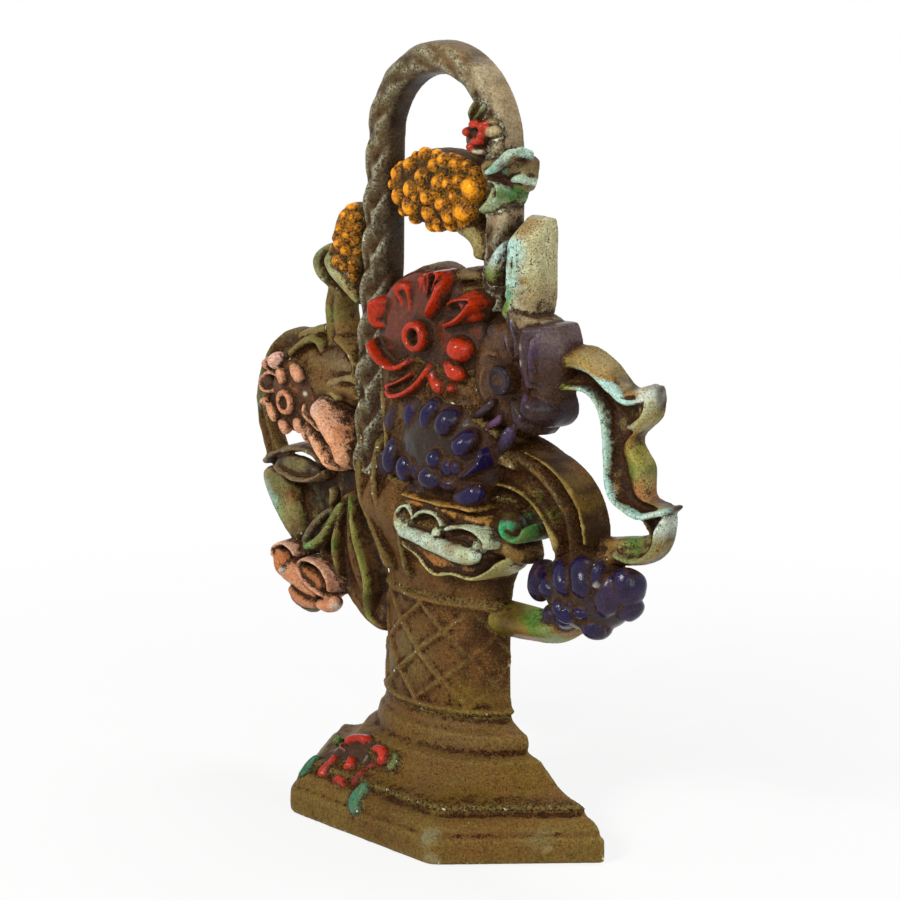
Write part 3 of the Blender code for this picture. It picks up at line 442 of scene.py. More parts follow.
def mark_wear_and_shade(piece):
    """Writes the paint colour of each corner, and how hollow or raised the surface is there."""
    mesh, spots, normals = piece.object.data, piece.corners(), piece.normals()
    curve = np.zeros(len(spots))
    for rounds, gain in ((4, 5.0), (24, 2.0)):
        bulge = np.einsum("ij,ij->i", piece.relax(spots, rounds) - spots, normals)
        curve += gain * piece.relax(bulge, 3)
    # Raised parts turn paler in the finish, partly as rubbed paint and partly as painted highlight
    raised = np.clip(-curve, 0, 1)
    # How hollow a point is sets its brown toning, also painted shade in creases, seams and closed-in spots
    hollow = np.clip(0.7 * np.clip(curve, 0, 1) + 1.1 * piece.closed + 0.5 * piece.near**1.5, 0, 1)
    colours = piece.tint
    if piece.deep:
        low, high, code = piece.deep
        depth = BACK_Y - spots[:, 1]
        share = eased(np.clip((high - depth + 0.5 * lumps(spots, 2.5, 6)) / (high - low), 0, 1))
        raised = raised * (1 - 0.8 * share)
        colours = laid_over(colours, code, share)
    for x, z, radius, code, strength in piece.spots:
        gap = np.hypot(spots[:, 0] - x, spots[:, 2] - z) + 1.2 * lumps(spots, 3.0, 9)
        colours = laid_over(colours, code, strength * np.clip(1.5 - gap / radius, 0, 1))
    colours = np.column_stack([colours, np.ones(len(spots))])
    for name, kind, field, values in (
        ("paint", "FLOAT_COLOR", "color", colours), ("hollow", "FLOAT", "value", piece.relax(hollow, 2)),
        ("raised", "FLOAT", "value", raised),
    ):
        mesh.attributes.new(name, kind, "POINT").data.foreach_set(field, values.astype(np.float32).ravel())


# Finishes

def node(tree, kind, inputs=(), **settings):
    """Adds a node with its settings, and fills its inputs, by name or in order.

    An input takes a plain value, a hex colour, a socket, or a node, which gives its first output in use.
    """
    made = tree.nodes.new(kind)
    for key, value in settings.items():
        setattr(made, key, value)
    if isinstance(inputs, dict):
        filled = [(made.inputs[key], value) for key, value in inputs.items()]
    else:
        filled = zip([socket for socket in made.inputs if socket.enabled], inputs)
    for socket, value in filled:
        if isinstance(value, bpy.types.Node):
            value = next(output for output in value.outputs if output.enabled)
        if isinstance(value, bpy.types.NodeSocket):
            tree.links.new(value, socket)
        elif isinstance(value, str) and value.startswith("#"):
            socket.default_value = (*linear(value), 1)
        else:
            socket.default_value = value
    return made


def painted_iron(name, wash_and_shade, gloss, dust, pits, chips, shine, change, edge_colour=None, brushed=1.0):
    """Cold enamel on cast iron: colour on the raised parts, brown toning and painted shade in the hollows.

    wash_and_shade is how far the toning and the painted shade spread from the hollows, gloss the roughness
    of the clean paint, dust the amount of pale specks, pits the amount of brown pinholes, chips the amount
    of bare spots, shine how strongly the film reflects, change the colour that the paint drifts to in
    patches, edge_colour the colour of the paler raised edges, which are partly rubbed paint and partly
    painted highlight, and brushed how much toning is left in brush marks on the open parts.
    """
    material = bpy.data.materials.new(name)
    material.use_nodes = True
    tree = material.node_tree
    tree.nodes.clear()
    ranged, maths, mixed, hued = ("ShaderNodeMapRange", "ShaderNodeMath", "ShaderNodeMix",
                                  "ShaderNodeHueSaturation")
    where = node(tree, "ShaderNodeTexCoord").outputs["Object"]
    paint, hollow, raised = (
        node(tree, "ShaderNodeAttribute", attribute_name=key).outputs[output]
        for key, output in (("paint", "Color"), ("hollow", "Fac"), ("raised", "Fac")))

    # Blotches: the width of one in millimetres, their detail, their roughness and a shift to part them
    blotches = []
    for width, detail, rough, shift in (
        (10.0, 3.0, 0.55, 0.0), (2.8, 4.0, 0.6, 3.0), (0.9, 3.0, 0.7, 7.0), (0.55, 2.0, 0.7, 5.0),
        (0.6, 2.0, 0.6, 23.0), (1.7, 4.0, 0.65, 11.0),
    ):
        place = node(tree, "ShaderNodeMapping", {"Vector": where, "Location": (shift, shift, shift)})
        blotches.append(node(tree, "ShaderNodeTexNoise", {"Vector": place, "Scale": 1 / (width * MM),
                                                          "Detail": detail, "Roughness": rough}))
    broad, patch, grain, fine, dusty, flaky = blotches

    # The enamel itself: uneven in colour and in how thick it lies
    drift = node(tree, ranged, (broad, 0.48, 0.66, 0.0, 0.55))
    shade = node(tree, mixed, (drift, paint, change), data_type="RGBA")
    thick = node(tree, ranged, (patch, 0.3, 0.7, 0.66, 1.3))
    thin = node(tree, ranged, (grain, 0.3, 0.7, -0.34, 0.36))
    depth = node(tree, maths, (thick, thin), operation="ADD")
    shade = node(tree, hued, {"Color": shade, "Value": depth})

    # Brown toning: run into the hollows, where it is also painted shade,
    # and left in brush marks on the open parts
    brown = node(tree, mixed, (node(tree, ranged, (grain, 0.42, 0.6)), DARK_UMBER, UMBER), data_type="RGBA")
    hollow_wash_and_shade = node(tree, maths, (hollow, 1.5 * wash_and_shade), operation="MULTIPLY")
    marks = node(tree, ranged, (patch, 0.35, 0.68, -0.3 * brushed, 0.32 * brushed))
    bristles = node(tree, ranged, (fine, 0.3, 0.7, -0.22 * brushed, 0.22 * brushed))
    spread = node(tree, maths, (hollow_wash_and_shade, marks), operation="ADD")
    spread = node(tree, maths, (spread, bristles), operation="ADD")
    toning_and_shade = node(tree, ranged, (spread, 0.18, 0.62))
    body = node(tree, mixed, (toning_and_shade, shade, brown), data_type="RGBA")

    # Pinholes filled with toning, and pale specks of dust
    lean = node(tree, ranged, (patch, 0.4, 0.6, -0.06, 0.05))
    pinhole = node(tree, ranged, (node(tree, maths, (fine, lean), operation="ADD"), 0.57, 0.63, 0.0, pits))
    body = node(tree, mixed, (pinhole, body, "#2e1a0c"), data_type="RGBA")
    lean = node(tree, ranged, (broad, 0.35, 0.65, -0.07, 0.04))
    speck = node(tree, ranged, (node(tree, maths, (dusty, lean), operation="ADD"), 0.56, 0.66, 0.0, dust))
    body = node(tree, mixed, (speck, body, DUST), data_type="RGBA")

    # Paler raised edges, partly rubbed paint and partly painted highlight, and chips down to the primer
    paler = node(tree, maths, (raised, node(tree, ranged, (grain, 0.4, 0.6))), operation="MULTIPLY",
                  use_clamp=True)
    paler = node(tree, maths, (paler, 0.7 if edge_colour else 0.35), operation="MULTIPLY")
    bright = node(tree, hued, {"Color": paint, "Value": 1.3})
    body = node(tree, mixed, (paler, body, edge_colour or bright), data_type="RGBA")
    edge = node(tree, maths, (raised, 0.12), operation="MULTIPLY")
    chip = node(tree, maths, (flaky, edge), operation="ADD")
    chip = node(tree, ranged, (chip, 0.80 - 0.08 * chips, 0.82 - 0.08 * chips))
    body = node(tree, mixed, (chip, body, PRIMER), data_type="RGBA")

    # The toning and painted shade dull the film, and the grain of the casting shows through it
    dull = node(tree, ranged, (toning_and_shade, 0.0, 1.0, gloss, 0.6))
    rough = node(tree, maths, (dull, node(tree, ranged, (grain, 0.3, 0.7, -0.07, 0.1))), operation="ADD")
    height = node(tree, maths, (node(tree, maths, (grain, 0.5), operation="MULTIPLY"),
                                node(tree, maths, (patch, 0.9), operation="MULTIPLY")), operation="ADD")
    sunk = node(tree, maths, (pinhole, 0.5), operation="MULTIPLY")
    height = node(tree, maths, (height, sunk), operation="SUBTRACT")
    bump = node(tree, "ShaderNodeBump", {"Height": height, "Strength": 0.2 + 0.7 * gloss,
                                         "Distance": 0.3 * MM})
    shader = node(tree, "ShaderNodeBsdfPrincipled", {
        "Base Color": body, "Roughness": rough, "Normal": bump, "Specular IOR Level": shine, "IOR": 1.5,
    })
    node(tree, "ShaderNodeOutputMaterial", {"Surface": shader})
    return material


FINISHES = {
    # Brown toning wiped thin over olive enamel: satin and dusty, with the sparkle of sand-cast grain
    "toned": painted_iron("umber_toned_cast_iron", wash_and_shade=0.85, gloss=0.45, dust=0.26, pits=0.5, chips=0.5,
                          shine=0.06, change="#6a4522", edge_colour="#82703c"),
    # Grey-green enamel of the handle: paler on the strands, partly rubbed by hands and partly painted
    # highlight
    "rope": painted_iron("rubbed_drab_enamel", wash_and_shade=1.0, gloss=0.36, dust=0.15, pits=0.35, chips=0.7,
                         shine=0.16, change="#4a3519", edge_colour="#b6b698"),
    # Thick glossy enamels of the flowers, which give small sharp highlights
    "red": painted_iron("poppy_red_enamel", wash_and_shade=1.1, gloss=0.13, dust=0.06, pits=0.2, chips=0.0, shine=0.22,
                        change="#7c1a0c", brushed=0.6),
    "yellow": painted_iron("amber_enamel", wash_and_shade=1.25, gloss=0.16, dust=0.0, pits=0.3, chips=0.0, shine=0.2,
                           change="#c86c04", brushed=0.25),
    "violet": painted_iron("ink_violet_enamel", wash_and_shade=1.6, gloss=0.15, dust=0.05, pits=0.15, chips=0.2,
                           shine=0.21, change="#120d18", brushed=0.9),
    "plum": painted_iron("plum_enamel", wash_and_shade=1.2, gloss=0.22, dust=0.16, pits=0.3, chips=0.3, shine=0.16,
                         change="#38281f"),
    # Matte pinks and creams, with the toning caught in their pinholes
    "pink": painted_iron("salmon_enamel", wash_and_shade=0.9, gloss=0.42, dust=0.2, pits=0.45, chips=0.1, shine=0.18,
                         change="#b86c3c"),
    "cream": painted_iron("cream_and_aqua_enamel", wash_and_shade=1.0, gloss=0.34, dust=0.14, pits=0.9, chips=0.2,
                          shine=0.16, change="#9c9258"),
    "green": painted_iron("leaf_green_enamel", wash_and_shade=0.9, gloss=0.34, dust=0.2, pits=0.5, chips=0.2,
                          shine=0.16, change="#6a5a28"),
}


# Base, foot, basket and handle

BASE_DEPTH, BASE_RIGHT, BASE_LEFT, BASE_FRONT = 45.0, 75.5, 68.5, 37.0
FOOT_Z, FOOT_TOP_Z, STEM_TOP_Z = 17.5, 41.5, 81.6
STEM_HEIGHT, BOWL_HEIGHT = 39.5, 38.5
STEM_HALF, STEM_DEPTH, STEM_TOP_DEPTH = 30.0, 17.5, 14.5
# The foot starts this far in from the plinth's edge, and its left side reaches less far by its shift
FOOT_INSET, FOOT_SHIFT, TORUS_HALF = 7.3, 7.0, 38.0
LATTICE_COLUMNS, LATTICE_ROWS, DIAMOND_HALF = 4, 2, 13.0
STRANDS = 17
OUTLINE_COUNT = 200


def outline(right, left, depth, roundness, soften):
    """One level of the base or basket, from its right end round the front to its left end."""
    s = np.linspace(0, 1, OUTLINE_COUNT)
    right_side = s >= 0.5
    reach = np.where(right_side, right, -left)
    fold = np.minimum(s, 1 - s) * 2
    chamfer = 1 - BASE_FRONT / np.where(right_side, BASE_RIGHT, BASE_LEFT)
    x = np.where(fold < 0.5, 1 - chamfer * fold / 0.5, (1 - chamfer) * (1 - (fold - 0.5) / 0.5))
    d = np.where(fold < 0.5, fold / 0.5, 1.0)
    angle = fold * np.pi / 2
    x = x * (1 - roundness) + np.cos(angle) ** 1.1 * roundness
    d = d * (1 - roundness) + np.sin(angle) ** 1.1 * roundness
    x, d = x * reach, d * depth
    for _ in range(soften):
        for row in (x, d):
            row[1:-1] = 0.25 * row[:-2] + 0.5 * row[1:-1] + 0.25 * row[2:]
    return x, d


def levels(rows, count):
    """Closed grid from rows of: z, right, left, depth and roundness of an outline."""
    fine = smooth([(z, 0, 0, *rest) for z, *rest in rows], count)
    grid = []
    for z, _, _, right, left, depth, roundness in fine:
        x, d = outline(right, left, depth, min(max(roundness, 0), 1), soften=12)
        grid.append(np.column_stack([x, d, np.full(len(x), z)]))
    return np.array(grid)


def raised_level(half, depth, lift, z):
    """One level of the basket, with a height over its surface for each point."""
    x, d = outline(half, half, depth, 1.0, soften=2)
    grow = 1 + lift(x) / np.hypot(x, d)
    return np.column_stack([x * grow, d * grow, np.full(len(x), z)])


def build_base():
    """The plinth, half a hexagon, and the mouldings that rise from it to the basket."""
    side = math.hypot(BASE_RIGHT - BASE_FRONT, BASE_DEPTH) / BASE_DEPTH
    # Height, and how far the front stands back from the plinth's edge
    profile = ((0.0, 1.2), (0.5, 0.4), (1.4, 0.0), (4.5, -0.1), (8.2, 0.1), (9.1, 0.7), (9.7, 1.6),
               (11.3, 1.9), (13.0, 3.0), (14.2, 4.7), (14.7, 6.1), (15.2, 6.8), (16.4, 7.2), (18.0, 8.0))
    rows = [(z, BASE_RIGHT - inset * side, BASE_LEFT - inset * side, BASE_DEPTH - inset, 0.0)
            for z, inset in profile]
    Piece("plinth", ["base_plinth"], "olive_enamel", "toned", [levels(rows, 60)], "#6c5527", spots=(
        (-52, 9, 6, "#7c8058", 0.7), (35, 9, 2.8, "#8c9070", 0.55), (37, 2, 2.2, "#9c9672", 0.5),
        (61, 9.5, 3, "#84875c", 0.5), (63, 6, 1.4, "#a89f74", 0.5), (10, 12, 12, UMBER, 0.5),
        (50, 13, 12, "#6e4a24", 0.6),
    ))
    widest = BASE_RIGHT - FOOT_INSET * side - TORUS_HALF
    narrowest = TORUS_HALF - STEM_HALF
    front = BASE_DEPTH - FOOT_INSET - STEM_DEPTH
    rows = []
    # Share of the height, reach past the torus, reach ahead of the stem, roundness and shift to the right
    for share, out, ahead, roundness, lean in (
        (-0.04, 1.06, 1.04, 0.00, 1.0), (0.03, 0.93, 0.95, 0.0, 1.0), (0.08, 0.74, 0.85, 0.05, 1.0),
        (0.17, 0.56, 0.70, 0.20, 1.0), (0.31, 0.41, 0.59, 0.45, 1.0), (0.42, 0.28, 0.47, 0.70, 0.9),
        (0.47, 0.23, 0.44, 0.75, 0.9), (0.51, 0.08, 0.36, 0.9, 0.8), (0.55, 0.0, 0.27, 1.00, 0.8),
        (0.60, 0.02, 0.25, 1.00, 0.8), (0.70, 0.02, 0.22, 1.00, 0.85), (0.78, -0.05, 0.18, 1.00, 0.8),
        (0.82, -0.35, 0.11, 1.00, 0.6), (0.88, -0.66, 0.07, 1.00, 0.3), (0.94, -0.93, 0.02, 1.0, 0.0),
        (1.02, -0.98, 0.0, 1.00, 0.0),
    ):
        right = TORUS_HALF + out * (widest if out > 0 else narrowest)
        rows.append((FOOT_Z + share * (FOOT_TOP_Z - FOOT_Z), right, right - lean * FOOT_SHIFT,
                     STEM_DEPTH + ahead * front, roundness))
    Piece("foot", ["stepped_foot"], "brown_enamel", "toned", [levels(rows, 80)], "#664a26", spots=(
        (0, 19, 14, OLIVE, 0.6), (40, 19, 14, OLIVE, 0.6), (20, 40, 16, "#6b5530", 0.5),
    ))


ROPE_ENDS = (
    [(-35.8, 132.1, 10.5), (-37.6, 126.4, 11), (-37.1, 118.9, 12.5), (-33.7, 110.6, 14.5),
        (-26.2, 103.5, 17), (-20, 94.2, 17.5), (-16.4, 86, 16.5)],
    [(-22.5, 132.9, 15), (-23.8, 125.2, 16), (-23.1, 117.4, 17.5), (-20.1, 111.3, 19),
        (-13.7, 106.8, 20.5)],
    [(-7.6, 108, 21.5), (-5.6, 101.5, 21), (-5.3, 92.7, 19.5), (-5.6, 86.4, 17.5)])


def build_waist():
    """The basket's waist: crossed ribs between two bands."""
    column = np.linspace(0, 1, OUTLINE_COUNT) * LATTICE_COLUMNS

    def lattice(x, t):
        row = (t - 0.07) / 0.86 * LATTICE_ROWS
        gaps = [np.abs(phase - np.round(phase)) * DIAMOND_HALF for phase in (column + row, column - row)]
        rib = 1.6 * np.exp(-(np.minimum(*gaps) / 0.85) ** 2)
        # The ribs are worn down towards the right
        rib = rib * (0.06 < t < 0.94) * np.interp(x, (-10, 10, 24), (1, 0.75, 0.3))
        band = 1.8 * (math.exp(-((t - 0.035) / 0.026) ** 2) + math.exp(-((t - 0.965) / 0.026) ** 2))
        return np.maximum(rib, band)

    grid = [raised_level(STEM_HALF - 0.6 * math.sin(math.pi * min(max(t, 0), 1)),
                         STEM_DEPTH + (STEM_TOP_DEPTH - STEM_DEPTH) * t, lambda x: lattice(x, t),
                         FOOT_TOP_Z + 0.3 + t * STEM_HEIGHT) for t in np.linspace(-0.01, 1.01, 110)]
    # The last three patches are near-black painted shade down the waist's right side
    Piece("basket_waist", ["basket_stem"], "brown_enamel", "toned", [np.array(grid)], "#5f4322", spots=(
        (-25, 50, 10, "#6e6234", 0.5), (-5, 60, 9, "#6f6236", 0.5), (20, 44, 9, OLIVE, 0.6),
        (27, 60, 8, "#2c190a", 1.0), (28, 72, 8, "#2a1809", 1.0), (24, 66, 7, "#3c2410", 0.9),
    ))


def build_flare():
    """The basket's bowl, softly pleated and turned over at its rim, with the rope's ends on it."""
    wave = np.abs(np.sin(np.pi * 9 * np.linspace(0, 1, OUTLINE_COUNT))) - 0.5
    flare = np.array(((0.0, 0.0), (0.18, 0.07), (0.30, 0.20), (0.45, 0.50), (0.62, 0.80), (0.80, 0.96),
                      (1.0, 1.0)))
    grid = []
    for share in np.linspace(-0.02, 1.0, 90):
        opened = np.interp(share, flare[:, 0], flare[:, 1])
        over = eased(min(max((share - 0.66) / (1.0 - 0.66), 0.0), 1.0))
        grid.append(raised_level(STEM_HALF + 17.5 * opened - 5 * over,
                                 STEM_TOP_DEPTH + 8.5 * opened - 6.5 * over,
                                 lambda x: 1.5 * opened * wave, STEM_TOP_Z + share * BOWL_HEIGHT))
    ends = [ridge(ROPE_ENDS[0], width=2.3, count=90, seat=4), ridge(ROPE_ENDS[1], width=2.0, seat=6),
            ridge(ROPE_ENDS[2], width=1.6, seat=6)]
    # The first three patches are near-black painted shade on the bowl's right side
    Piece("basket_flare", ["basket_bowl"], "brown_enamel", "toned",
          [np.array(grid)] + [(end, "#6b5a34") for end in ends], "#5c4020", spots=(
              (40, 100, 12, "#2a190b", 0.95), (33, 90, 9, "#2f1c0d", 0.9), (44, 112, 9, "#2a190b", 0.9),
              (-25, 112, 8, "#6b4a28", 0.6)))


def build_handle():
    """The rope: an arch on two legs, flat behind, its strands turned slowly round the front."""
    radius, centre = 29.3, 235.1
    line = [(-35.8, 118.0, 7.0), (-32.9, 166.4, 7.0), (-30.7, 198.6, 6.3)]
    for k in range(9):
        angle = math.pi * k / 8
        line.append((-radius * math.cos(angle), centre + radius * math.sin(angle), 5.6))
    line += [(29.3, 208.7, 5.6), (27.0, 183.0, 5.6)]

    slant, crest = 0.72, 0.72

    def strands(u, t):
        """Height from 0 to 1 over the slanted strands: a slow rise to the crest, then a sharp drop."""
        p = np.mod(STRANDS * t - slant * u, 1)
        return np.where(p < crest, np.sin(p / crest * np.pi / 2) ** 1.3,
                        np.cos(np.maximum(p - crest, 0) / (1 - crest) * np.pi / 2) ** 1.2)

    def left_leg(t, other):
        """1 on the left leg, and less on the arch and the right leg, which are rubbed smooth."""
        return np.interp(t, (0, 0.36, 0.5, 1), (1, 1, other, other))

    def front(u, t):
        dome = np.sqrt(np.clip(1 - u * u, 0, 1))
        return (6.8 + 2.4 * dome
                + 3.2 * left_leg(t, 0.42) * strands(u, t) * (0.25 + 0.75 * dome) * np.clip(1.25 - u, 0, 1))

    def swell(grid):
        """Lets the strands stand out at the left side too, where the camera sees it."""
        t = np.linspace(0, 1, grid.shape[0])[:, None]
        side = np.linspace(-1, 1, grid.shape[1])[None, :]
        bulge = 1.3 * (strands(side, t) - 0.5) * np.clip(-1.4 * side, 0, 1) * left_leg(t, 0.3)
        out = unit((grid - grid.mean(axis=1, keepdims=True)) * (1, 0, 1))
        return grid + out * bulge[..., None] * np.clip(grid[..., 1:2] / 5 - 0.6, 0, 1)

    body = relief(rails(line, 80), front, 640, 48, square=5.5, bend=swell)
    # Near-black painted shade down the left leg's inner side, then paler patches on the right leg's outer
    # side
    shaded = ((-29, 126), (-28.5, 136), (-28, 146), (-27, 156), (-26, 166), (-25, 176), (-24.5, 186),
              (-24.2, 196), (-23.5, 206))
    paler = ((33, 216), (34.5, 224), (35.5, 232), (35.5, 240), (34, 248), (30, 255), (23, 261))
    Piece("rope", ["rope_handle"], "grey_brown_enamel", "rope", [body], ROPE_GREY, spots=(
        *((x, z, 5.0, "#2c1b09", 0.9) for x, z in shaded),
        *((x, z, 5.5, "#a08c6a", 0.95) for x, z in paler),
        (0, 268, 8, "#6a5434", 0.7), (10, 266, 6, "#7a6038", 0.7), (26, 188, 8, "#4a3018", 0.7),
        (27, 198, 6, "#5c4426", 0.7), (-27, 218, 5, "#4a3520", 0.6), (-24, 228, 5, "#55402a", 0.6),
    ), deep=(6.6, 9.4, "#291908"), rough=0.2)


# Flowers, leaves and ribbons

def field(*rows):
    """Depth over a form from a few rows of depths: each row runs from its left edge to its right."""
    table = np.array(rows if len(rows) > 1 else rows * 2, float)

    def weights(s, n):
        s = np.clip(s, 0, 1) * (n - 1)
        k = np.minimum(s.astype(int), n - 2)
        f = s - k
        places = [np.clip(k + j, 0, n - 1) for j in (-1, 0, 1, 2)]
        shares = (((2 - f) * f - 1) * f / 2, ((3 * f - 5) * f * f + 2) / 2,
                  ((4 - 3 * f) * f + 1) * f / 2, (f - 1) * f * f / 2)
        return places, shares

    def depth(u, t):
        u, t = np.broadcast_arrays(u, t)
        across, across_shares = weights((u + 1) / 2, table.shape[1])
        along, along_shares = weights(t, table.shape[0])
        total = 0.0
        for i in range(4):
            for j in range(4):
                total = total + table[along[i], across[j]] * along_shares[i] * across_shares[j]
        return total
    return depth


def petal(line, *rows, seat=0.0, count=44, across=28, square=3.0, ends=(0.1, 0.2)):
    """A form along a line of x, z and half width, with rows of depths across it."""
    return relief(rails(line, count), field(*rows), count, across, square, seat, ends)


def ridge(line, width, count=60, seat=0.0, ends=(0.06, 0.06)):
    """A thin wall on edge that rises to a rounded crest. Line: x, z and the depth of the crest."""
    rows = smooth([(x, 0, z, d) for x, z, d in line], count)
    edges = rails(np.column_stack([rows[:, 0], rows[:, 2], np.full(count, width)]), count)

    def front(u, t):
        return np.interp(t, np.linspace(0, 1, count), rows[:, 3]) + 0 * u
    return relief(edges, front, count, across=16, square=2.6, seat=seat, ends=ends)


def button(x, z, profile, stretch=(1.0, 1.0), turn=0.0, around=40, count=26):
    """A round form from its profile of radius and depth, from the rim behind to its middle in front."""
    angle = circle(around)
    lean = math.radians(turn)
    grid = []
    for r, _, d in smooth([(r, 0, d) for r, d in profile], count):
        a, b = np.cos(angle) * r * stretch[0], np.sin(angle) * r * stretch[1]
        grid.append(np.column_stack([x + a * math.cos(lean) - b * math.sin(lean), np.full(around, d),
                                     z + a * math.sin(lean) + b * math.cos(lean)]))
    return np.array(grid)


def knob(x, d, z, half, high, out):
    """A rounded lump: its middle, then half its width, half its height and how far it stands out."""
    angle = circle(22)
    grid = []
    for lift in np.linspace(-1.5, 1.5, 13):
        wide, rise = math.cos(lift), math.sin(lift)
        grid.append(np.column_stack([x + half * wide * np.cos(angle), np.full(len(angle), d + out * rise),
                                     z + high * wide * np.sin(angle)]))
    return np.array(grid)


def scatter_tree():
    """Geometry Nodes: sets one shape on many points, turned and sized by each point's own fields."""
    tree = bpy.data.node_groups.new("set_on_points", "GeometryNodeTree")
    for name, way, kind in (
        ("Geometry", "INPUT", "Geometry"), ("Shape", "INPUT", "Object"), ("Size jitter", "INPUT", "Float"),
        ("Seed", "INPUT", "Int"), ("Paint", "INPUT", "Material"), ("Geometry", "OUTPUT", "Geometry"),
    ):
        tree.interface.new_socket(name, in_out=way, socket_type="NodeSocket" + kind)
    given = node(tree, "NodeGroupInput").outputs
    shape = node(tree, "GeometryNodeObjectInfo", {"Object": given["Shape"]}).outputs["Geometry"]
    turn = node(tree, "GeometryNodeInputNamedAttribute", {"Name": "turn"}, data_type="FLOAT_VECTOR")
    size = node(tree, "GeometryNodeInputNamedAttribute", {"Name": "size"}, data_type="FLOAT")
    least = node(tree, "ShaderNodeMath", (1.0, given["Size jitter"]), operation="SUBTRACT")
    most = node(tree, "ShaderNodeMath", (1.0, given["Size jitter"]), operation="ADD")
    chance = node(tree, "FunctionNodeRandomValue", {"Min": least, "Max": most, "Seed": given["Seed"]},
                  data_type="FLOAT")
    laid = node(tree, "GeometryNodeInstanceOnPoints", {
        "Points": given["Geometry"], "Instance": shape,
        "Rotation": node(tree, "FunctionNodeEulerToRotation", (turn,)),
        "Scale": node(tree, "ShaderNodeMath", (size, chance), operation="MULTIPLY"),
    })
    real = node(tree, "GeometryNodeRealizeInstances", {"Geometry": laid})
    painted = node(tree, "GeometryNodeSetMaterial", {"Geometry": real, "Material": given["Paint"]})
    node(tree, "NodeGroupOutput", {"Geometry": painted})
    return tree


def set_on_points(name, places, grid, jitter, seed, finish):
    """places: rows of a spot, the directions of the shape's length and of its front, and its size."""
    shape = mesh_object(name + "_shape", *skin([grid], placed=False))
    points = bpy.data.meshes.new(name + "_points")
    points.from_pydata([Vector((x, BACK_Y - d, z)) * MM for (x, d, z), _, _, _ in places], [], [])
    turns = []
    for _, length, front, _ in places:
        along = Vector((length[0], -length[1], length[2])).normalized()
        out = Vector((front[0], -front[1], front[2]))
        out = (out - along * out.dot(along)).normalized()
        turns += list(Matrix((along, out.cross(along), out)).transposed().to_euler())
    sizes = [size for _, _, _, size in places]
    points.attributes.new("turn", "FLOAT_VECTOR", "POINT").data.foreach_set("vector", turns)
    points.attributes.new("size", "FLOAT", "POINT").data.foreach_set("value", sizes)
    holder = add_object(name + "_holder", points)
    step = holder.modifiers.new("set_on_points", "NODES")
    step.node_group = SCATTER
    given = {item.name: item.identifier for item in SCATTER.interface.items_tree
             if item.item_type == "SOCKET" and item.in_out == "INPUT"}
    paint = FINISHES[finish]
    for key, value in (("Shape", shape), ("Size jitter", jitter), ("Seed", seed), ("Paint", paint)):
        step[given[key]] = value
    ready = holder.evaluated_get(bpy.context.evaluated_depsgraph_get())
    made = bpy.data.meshes.new_from_object(ready)
    made.name = name
    holder.modifiers.remove(step)
    for spare in (holder, shape):
        bpy.data.objects.remove(spare)
    made.polygons.foreach_set("use_smooth", np.ones(len(made.polygons), bool))
    return add_object(name, made)


SCATTER = scatter_tree()


def berry():
    """One berry of 1 mm radius, a little longer than wide."""
    rows = [(-1.12, 0, 0, 0.3, 0.3), (-0.6, 0, 0, 0.82, 0.82), (0, 0, 0, 0.98, 1.0), (0.6, 0, 0, 0.8, 0.8),
            (1.12, 0, 0, 0.3, 0.3)]
    return tube(rows, 14, 14, up=(0, 0, 1), ends=(0.5, 0.5))


CENTRE_BERRIES = [(-22.8, 228, 1.4), (-16.5, 224.2, 2.6), (-9.3, 228.2, 2.3), (-1, 225.1, 2.5),
    (-3.9, 231.9, 2.3), (3.5, 229, 2.3), (6.2, 230.8, 2.4), (12.5, 229.5, 2.3), (13.4, 232.5, 1.6),
    (16.8, 229.9, 1.7), (21.5, 227.7, 2.4), (7.6, 223.7, 2.8), (11.3, 223.5, 2.3), (15.7, 224.5, 2.3),
    (21.3, 222.8, 4.3), (-6.5, 220.4, 2.9), (-14.2, 217.6, 3), (2.2, 218.6, 2.4), (-7.6, 214.7, 3.1),
    (9.2, 217, 2.9), (-17.2, 210.9, 1.8), (11.5, 213.6, 3.2), (17.5, 215.3, 3.5), (1.6, 213, 2.6),
    (-11.1, 208.4, 2), (4.1, 209.7, 2.4), (-27.8, 220.8, 1.5), (2, 233.9, 1.8), (-9.9, 232.3, 1.7),
    (9.5, 232.9, 1.6), (16, 211.3, 2.3), (10.1, 209.8, 2.4), (0.3, 208.8, 2), (6, 220.3, 1.6),
    (13.9, 219.5, 1.9), (-0.3, 221.2, 1.4), (-15.1, 227.2, 1.5), (-3.5, 218, 1.6)]

LEFT_BERRIES = [(-44.2, 211.5, 2.2), (-44.6, 209.3, 2), (-46.5, 207, 2), (-42.6, 206.8, 1.7),
    (-47.3, 203, 1.8), (-43.3, 200.7, 2.2), (-41, 203.1, 1.4), (-47.1, 197.5, 2.2), (-44.6, 195.6, 2),
    (-40.8, 199, 1.4), (-49.8, 199.5, 1.2), (-49.3, 191.1, 2.2), (-46.6, 189.5, 1.7), (-42.3, 191.7, 1.4),
    (-42.8, 189.2, 1.4), (-44.7, 183.9, 1.7), (-54.8, 194.9, 1.2), (-40.2, 195.2, 1.2), (-47.2, 186.3, 1.1),
    (-43.3, 204.3, 1.2), (-47.1, 205, 1.2)]


